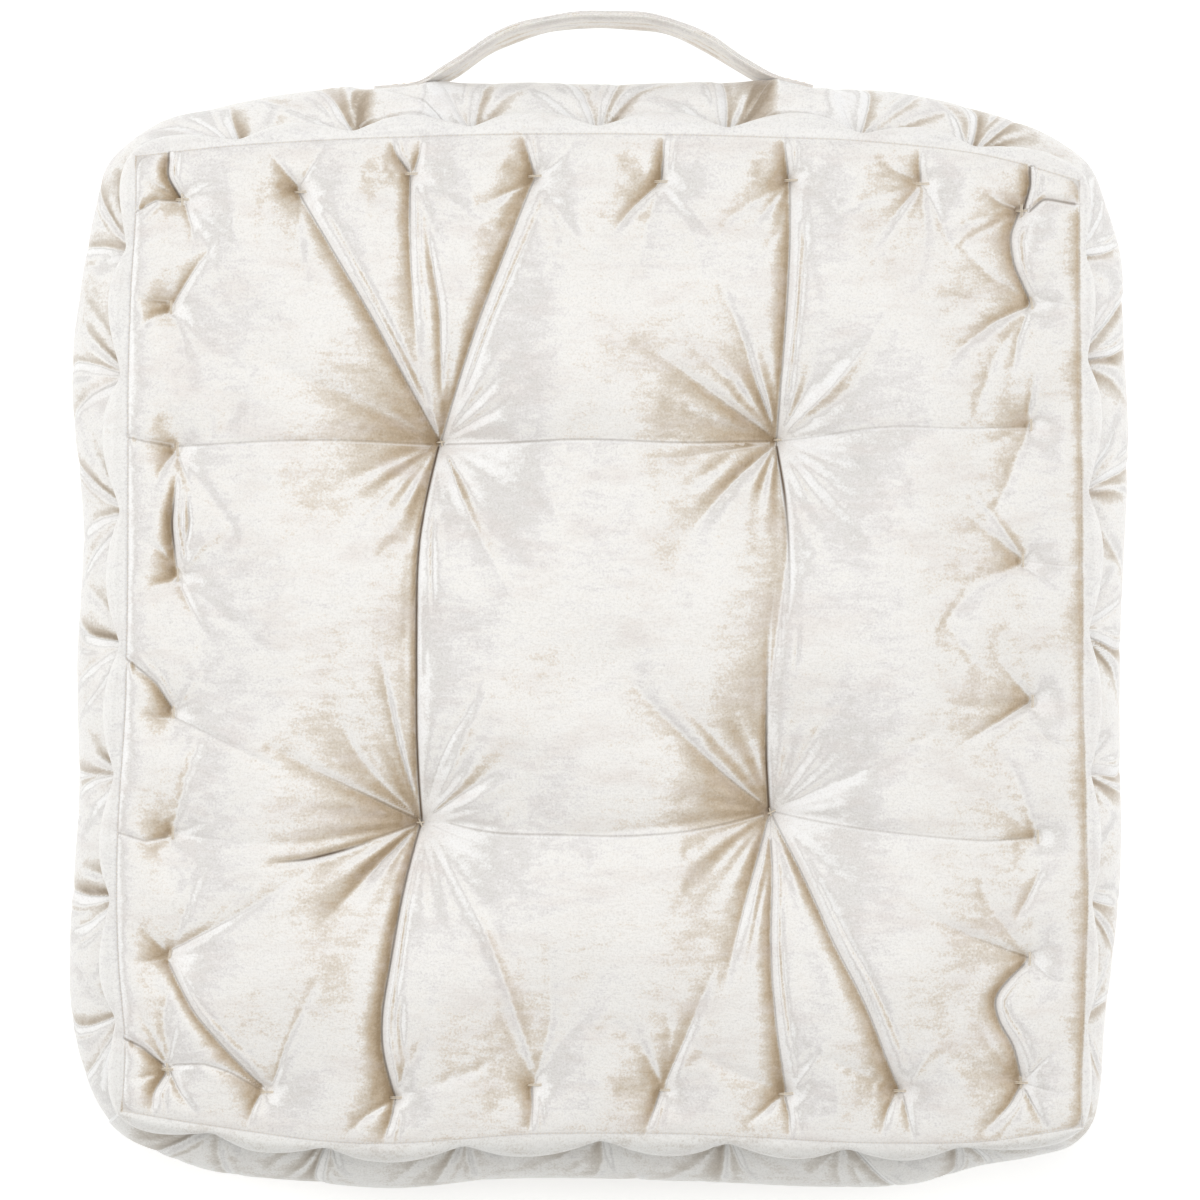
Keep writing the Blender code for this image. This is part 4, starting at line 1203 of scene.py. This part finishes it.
def add(tree, kind, links=(), **settings):
    """Adds a node. Settings are properties or inputs by name, or i and a number. Links feed its inputs."""
    node = tree.nodes.new(kind)
    for key, value in settings.items():
        if hasattr(node, key):
            setattr(node, key, value)
        elif key[0] == "i" and key[1:].isdigit():
            node.inputs[int(key[1:])].default_value = value
        else:
            node.inputs[key.replace("_", " ")].default_value = value
    for socket, source in dict(links).items():
        tree.links.new(source, node.inputs[socket])
    return node


def noise(tree, where, scale, detail, low, high, roughness=0.6):
    """Noise with the given features per metre, stretched so that most of it lies between two values."""
    made = add(tree, "ShaderNodeTexNoise", {"Vector": where}, Scale=scale, Detail=detail, Roughness=roughness)
    return add(tree, "ShaderNodeMapRange", {0: made.outputs["Fac"]}, From_Min=0.28, From_Max=0.72, To_Min=low,
               To_Max=high, clamp=False).outputs[0]


def mix(tree, share, base, colour, blend_type="MIX"):
    """Mixes a colour, or the colour of a socket, over a base by a share."""
    made = add(tree, "ShaderNodeMix", {0: share, 6: base}, data_type="RGBA", blend_type=blend_type)
    made.inputs[7].default_value = linear(colour)
    return made.outputs[2]


def paint_crease_shade(tree, colour):
    """Paints each crease with a dark line of painted shade, wider where sharper, and a bright line of painted
    highlight beside it.
    """
    sharp = add(tree, "ShaderNodeAttribute", attribute_name="crease").outputs["Fac"]
    side = add(tree, "ShaderNodeAttribute", attribute_name="crease_side").outputs["Fac"]
    wide = add(tree, "ShaderNodeMath", {0: sharp}, operation="MULTIPLY_ADD", i1=0.9, i2=0.45).outputs[0]
    across = add(tree, "ShaderNodeMath", {0: side, 1: wide}, operation="DIVIDE").outputs[0]
    crease_shade_share = add(tree, "ShaderNodeMath", {0: sharp, 1: sharp}, operation="MULTIPLY").outputs[0]
    # ffffff is the painted highlight beside a crease, 6a5640 the painted shade at its bottom.
    for middle, amount, strength, tint in ((1.5, sharp, 0.9, "ffffff"), (0.0, crease_shade_share, 1.3, "6a5640")):
        off = add(tree, "ShaderNodeMath", {0: across}, operation="SUBTRACT", i1=middle).outputs[0]
        off = add(tree, "ShaderNodeMath", {0: off}, operation="ABSOLUTE").outputs[0]
        line = add(tree, "ShaderNodeMapRange", {0: off}, interpolation_type="SMOOTHSTEP", To_Min=strength,
                   To_Max=0.0).outputs[0]
        share = add(tree, "ShaderNodeMath", {0: amount, 1: line}, operation="MULTIPLY", use_clamp=True)
        colour = mix(tree, share.outputs[0], colour, tint)
    return colour


def pressed_velvet(name):
    """Ivory pile with painted shade and highlight: beige where it slopes away from the key lamp, white where
    it faces it, in brushed patches with ragged edges.

    Its lean is the painted slope shade plus noise at four sizes, and a ramp gives the colour of the lean.
    Over it lie a broad haze, painted shade at the bottoms of the creases with a painted highlight beside
    each, the painted shade that greys the boxing, and the grain.
    """
    made, tree, shader = material(name)
    where = add(tree, "ShaderNodeTexCoord").outputs["Object"]
    lean = add(tree, "ShaderNodeAttribute", attribute_name="shade_and_nap").outputs["Fac"]
    brushed = add(tree, "ShaderNodeMapping", {"Vector": where}, Scale=(0.4, 1.1, 1.0)).outputs[0]
    layers = (
        # coordinates, features per metre, detail, most change of the lean
        (where, 12, 2, 0.05), (where, 45, 4, 0.06), (brushed, 230, 3, 0.11), (where, 900, 2, 0.10),
    )
    for coordinates, scale, detail, most in layers:
        uneven = noise(tree, coordinates, scale, detail, -most, most)
        lean = add(tree, "ShaderNodeMath", {0: lean, 1: uneven}, operation="ADD").outputs[0]
    # The ramp paints shade and highlight: white where the lean faces the key lamp, beige where it faces away.
    stops = (
        # lean, colour
        (-0.95, "ffffff"), (-0.50, "fefdfb"), (-0.29, "e6e3df"), (-0.16, "efecea"), (-0.07, "f9f7f3"),
        (0.10, "f9f6f1"), (0.19, "ece4d9"), (0.32, "ddd2c2"), (0.58, "cab79d"), (0.95, "ad9677"),
    )
    shifted = add(tree, "ShaderNodeMapRange", {0: lean}, From_Min=-1.0, From_Max=1.0)
    tone = add(tree, "ShaderNodeValToRGB", {0: shifted.outputs[0]})
    ramp = tone.color_ramp
    while len(ramp.elements) < len(stops):
        ramp.elements.new(0.5)
    for element, (value, colour) in zip(ramp.elements, stops):
        element.position = (value + 1) / 2
        element.color = linear(colour)
    colour = mix(tree, noise(tree, brushed, 70, 4, -0.45, 0.45, 0.65), tone.outputs["Color"], "e6dcd6")
    colour = paint_crease_shade(tree, colour)
    # Painted shade of the boxing: greyer and a little darker, most at its front.
    shade = add(tree, "ShaderNodeAttribute", attribute_name="shade").outputs["Fac"]
    shade_greying = add(tree, "ShaderNodeMapRange", {0: shade}, From_Max=0.05, To_Min=1.0, To_Max=0.72).outputs[0]
    shade_greying = add(tree, "ShaderNodeMath", {0: shade, 2: shade_greying}, operation="MULTIPLY_ADD", i1=-0.25).outputs[0]
    colour = add(tree, "ShaderNodeHueSaturation", {"Color": colour, "Saturation": shade_greying}).outputs[0]
    colour = mix(tree, shade, colour, "f3f3f1", "MULTIPLY")
    grain = noise(tree, where, 1000, 2, -0.13, 0.21, 0.85)
    colour = mix(tree, grain, colour, "8c8478", "MULTIPLY")
    tree.links.new(colour, shader.inputs["Base Color"])
    shader.inputs["Roughness"].default_value = 0.42
    shader.inputs["Specular IOR Level"].default_value = 0.5
    shader.inputs["Sheen Weight"].default_value = 0.2
    shader.inputs["Sheen Roughness"].default_value = 0.35
    pile = add(tree, "ShaderNodeTexNoise", {"Vector": brushed}, Scale=900, Detail=2)
    bump = add(tree, "ShaderNodeBump", {"Height": pile.outputs["Fac"]}, Strength=0.3, Distance=0.0006)
    tree.links.new(bump.outputs["Normal"], shader.inputs["Normal"])
    return made


def waxed_thread(name):
    """Champagne thread, a little darker than the pile, with a fine twist."""
    made, tree, shader = material(name)
    where = add(tree, "ShaderNodeTexCoord").outputs["Object"]
    twist = add(tree, "ShaderNodeTexNoise", {"Vector": where}, Scale=2500, Detail=1)
    ramp = add(tree, "ShaderNodeMix", {0: twist.outputs["Fac"]}, data_type="RGBA", i6=linear("dccdb4"),
               i7=linear("f4ecde"))
    tree.links.new(ramp.outputs[2], shader.inputs["Base Color"])
    shader.inputs["Roughness"].default_value = 0.5
    return made


def place(mesh, finish, slot):
    """Links a finished mesh at the origin, with its material, riding on the root body."""
    piece = bpy.data.objects.new(mesh.name, mesh)
    bpy.context.scene.collection.objects.link(piece)
    mesh.materials.append(finish)
    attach(piece, "root")
    return piece


# ---------------------------------------------------------------- scene

velvet = pressed_velvet("pressed_velvet")
thread_finish = waxed_thread("waxed_thread")
cover_body, face_grid_points, boxing_grid_points, back_grid_points = build_cover()
cover = place(cover_body, velvet, "cover_velvet")
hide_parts("cushion")
strap_body, strap_length = build_strap()
strap = place(strap_body, velvet, "strap_velvet")
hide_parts("carry_strap")
place(build_threads(face_grid_points, boxing_grid_points, back_grid_points), thread_finish, None)


LAMP_AIM = (0, 0, 0.1)
LAMPS = (
    # name, place, size, power in watts
    ("key", (-1.7, 0.3, 1.15), 1.0, 10),
    ("overhead", (0, 0.35, 2.6), 1.6, 20),
    ("right", (1.9, 0.1, 0.8), 1.2, 9),
    ("rear", (0, 2.0, 0.8), 1.2, 4),
    ("front", (0, -2.0, 0.8), 1.2, 2),
)
CAMERA_LENS = 128.6
CAMERA_Y, CAMERA_Z = 0.0163, 2.0 + FACE_SEAM_Z + 0.014  # two metres above the crown of the face


def plain_floor():
    """A pale floor, which glows a little so that it reads as white."""
    mesh = bpy.data.meshes.new("floor")
    corners_at = [(-6, -6, 0), (6, -6, 0), (6, 6, 0), (-6, 6, 0)]
    mesh.from_pydata(corners_at, [], [(0, 1, 2, 3)])
    made, _, shader = material("pale_studio_floor")
    shader.inputs["Base Color"].default_value = linear("f8f8f7")
    shader.inputs["Roughness"].default_value = 0.9
    shader.inputs["Emission Color"].default_value = linear("ffffff")
    shader.inputs["Emission Strength"].default_value = 0.3
    mesh.materials.append(made)
    floor = bpy.data.objects.new("floor", mesh)
    bpy.context.scene.collection.objects.link(floor)


def soft_light(name, place_at, size, power):
    """A round soft light that points at the pillow."""
    light = bpy.data.lights.new(name, "AREA")
    light.shape = "DISK"
    light.size = size
    light.energy = power
    lamp = bpy.data.objects.new(name, light)
    lamp.location = place_at
    lamp.rotation_euler = (Vector(LAMP_AIM) - Vector(place_at)).to_track_quat("-Z", "Y").to_euler()
    bpy.context.scene.collection.objects.link(lamp)


def studio():
    """Floor, white surroundings, lamps, and a camera straight above the face with a long lens."""
    plain_floor()
    world = bpy.data.worlds.new("studio")
    world.use_nodes = True
    world.node_tree.nodes["Background"].inputs["Color"].default_value = (1, 1, 1, 1)
    world.node_tree.nodes["Background"].inputs["Strength"].default_value = 0.43
    bpy.context.scene.world = world
    for lamp in LAMPS:
        soft_light(*lamp)
    camera = bpy.data.cameras.new("camera")
    camera.lens = CAMERA_LENS
    viewer = bpy.data.objects.new("camera", camera)
    viewer.location = (0, CAMERA_Y, CAMERA_Z)
    bpy.context.scene.collection.objects.link(viewer)
    bpy.context.scene.camera = viewer
    bpy.context.scene.view_settings.view_transform = "Standard"


studio()
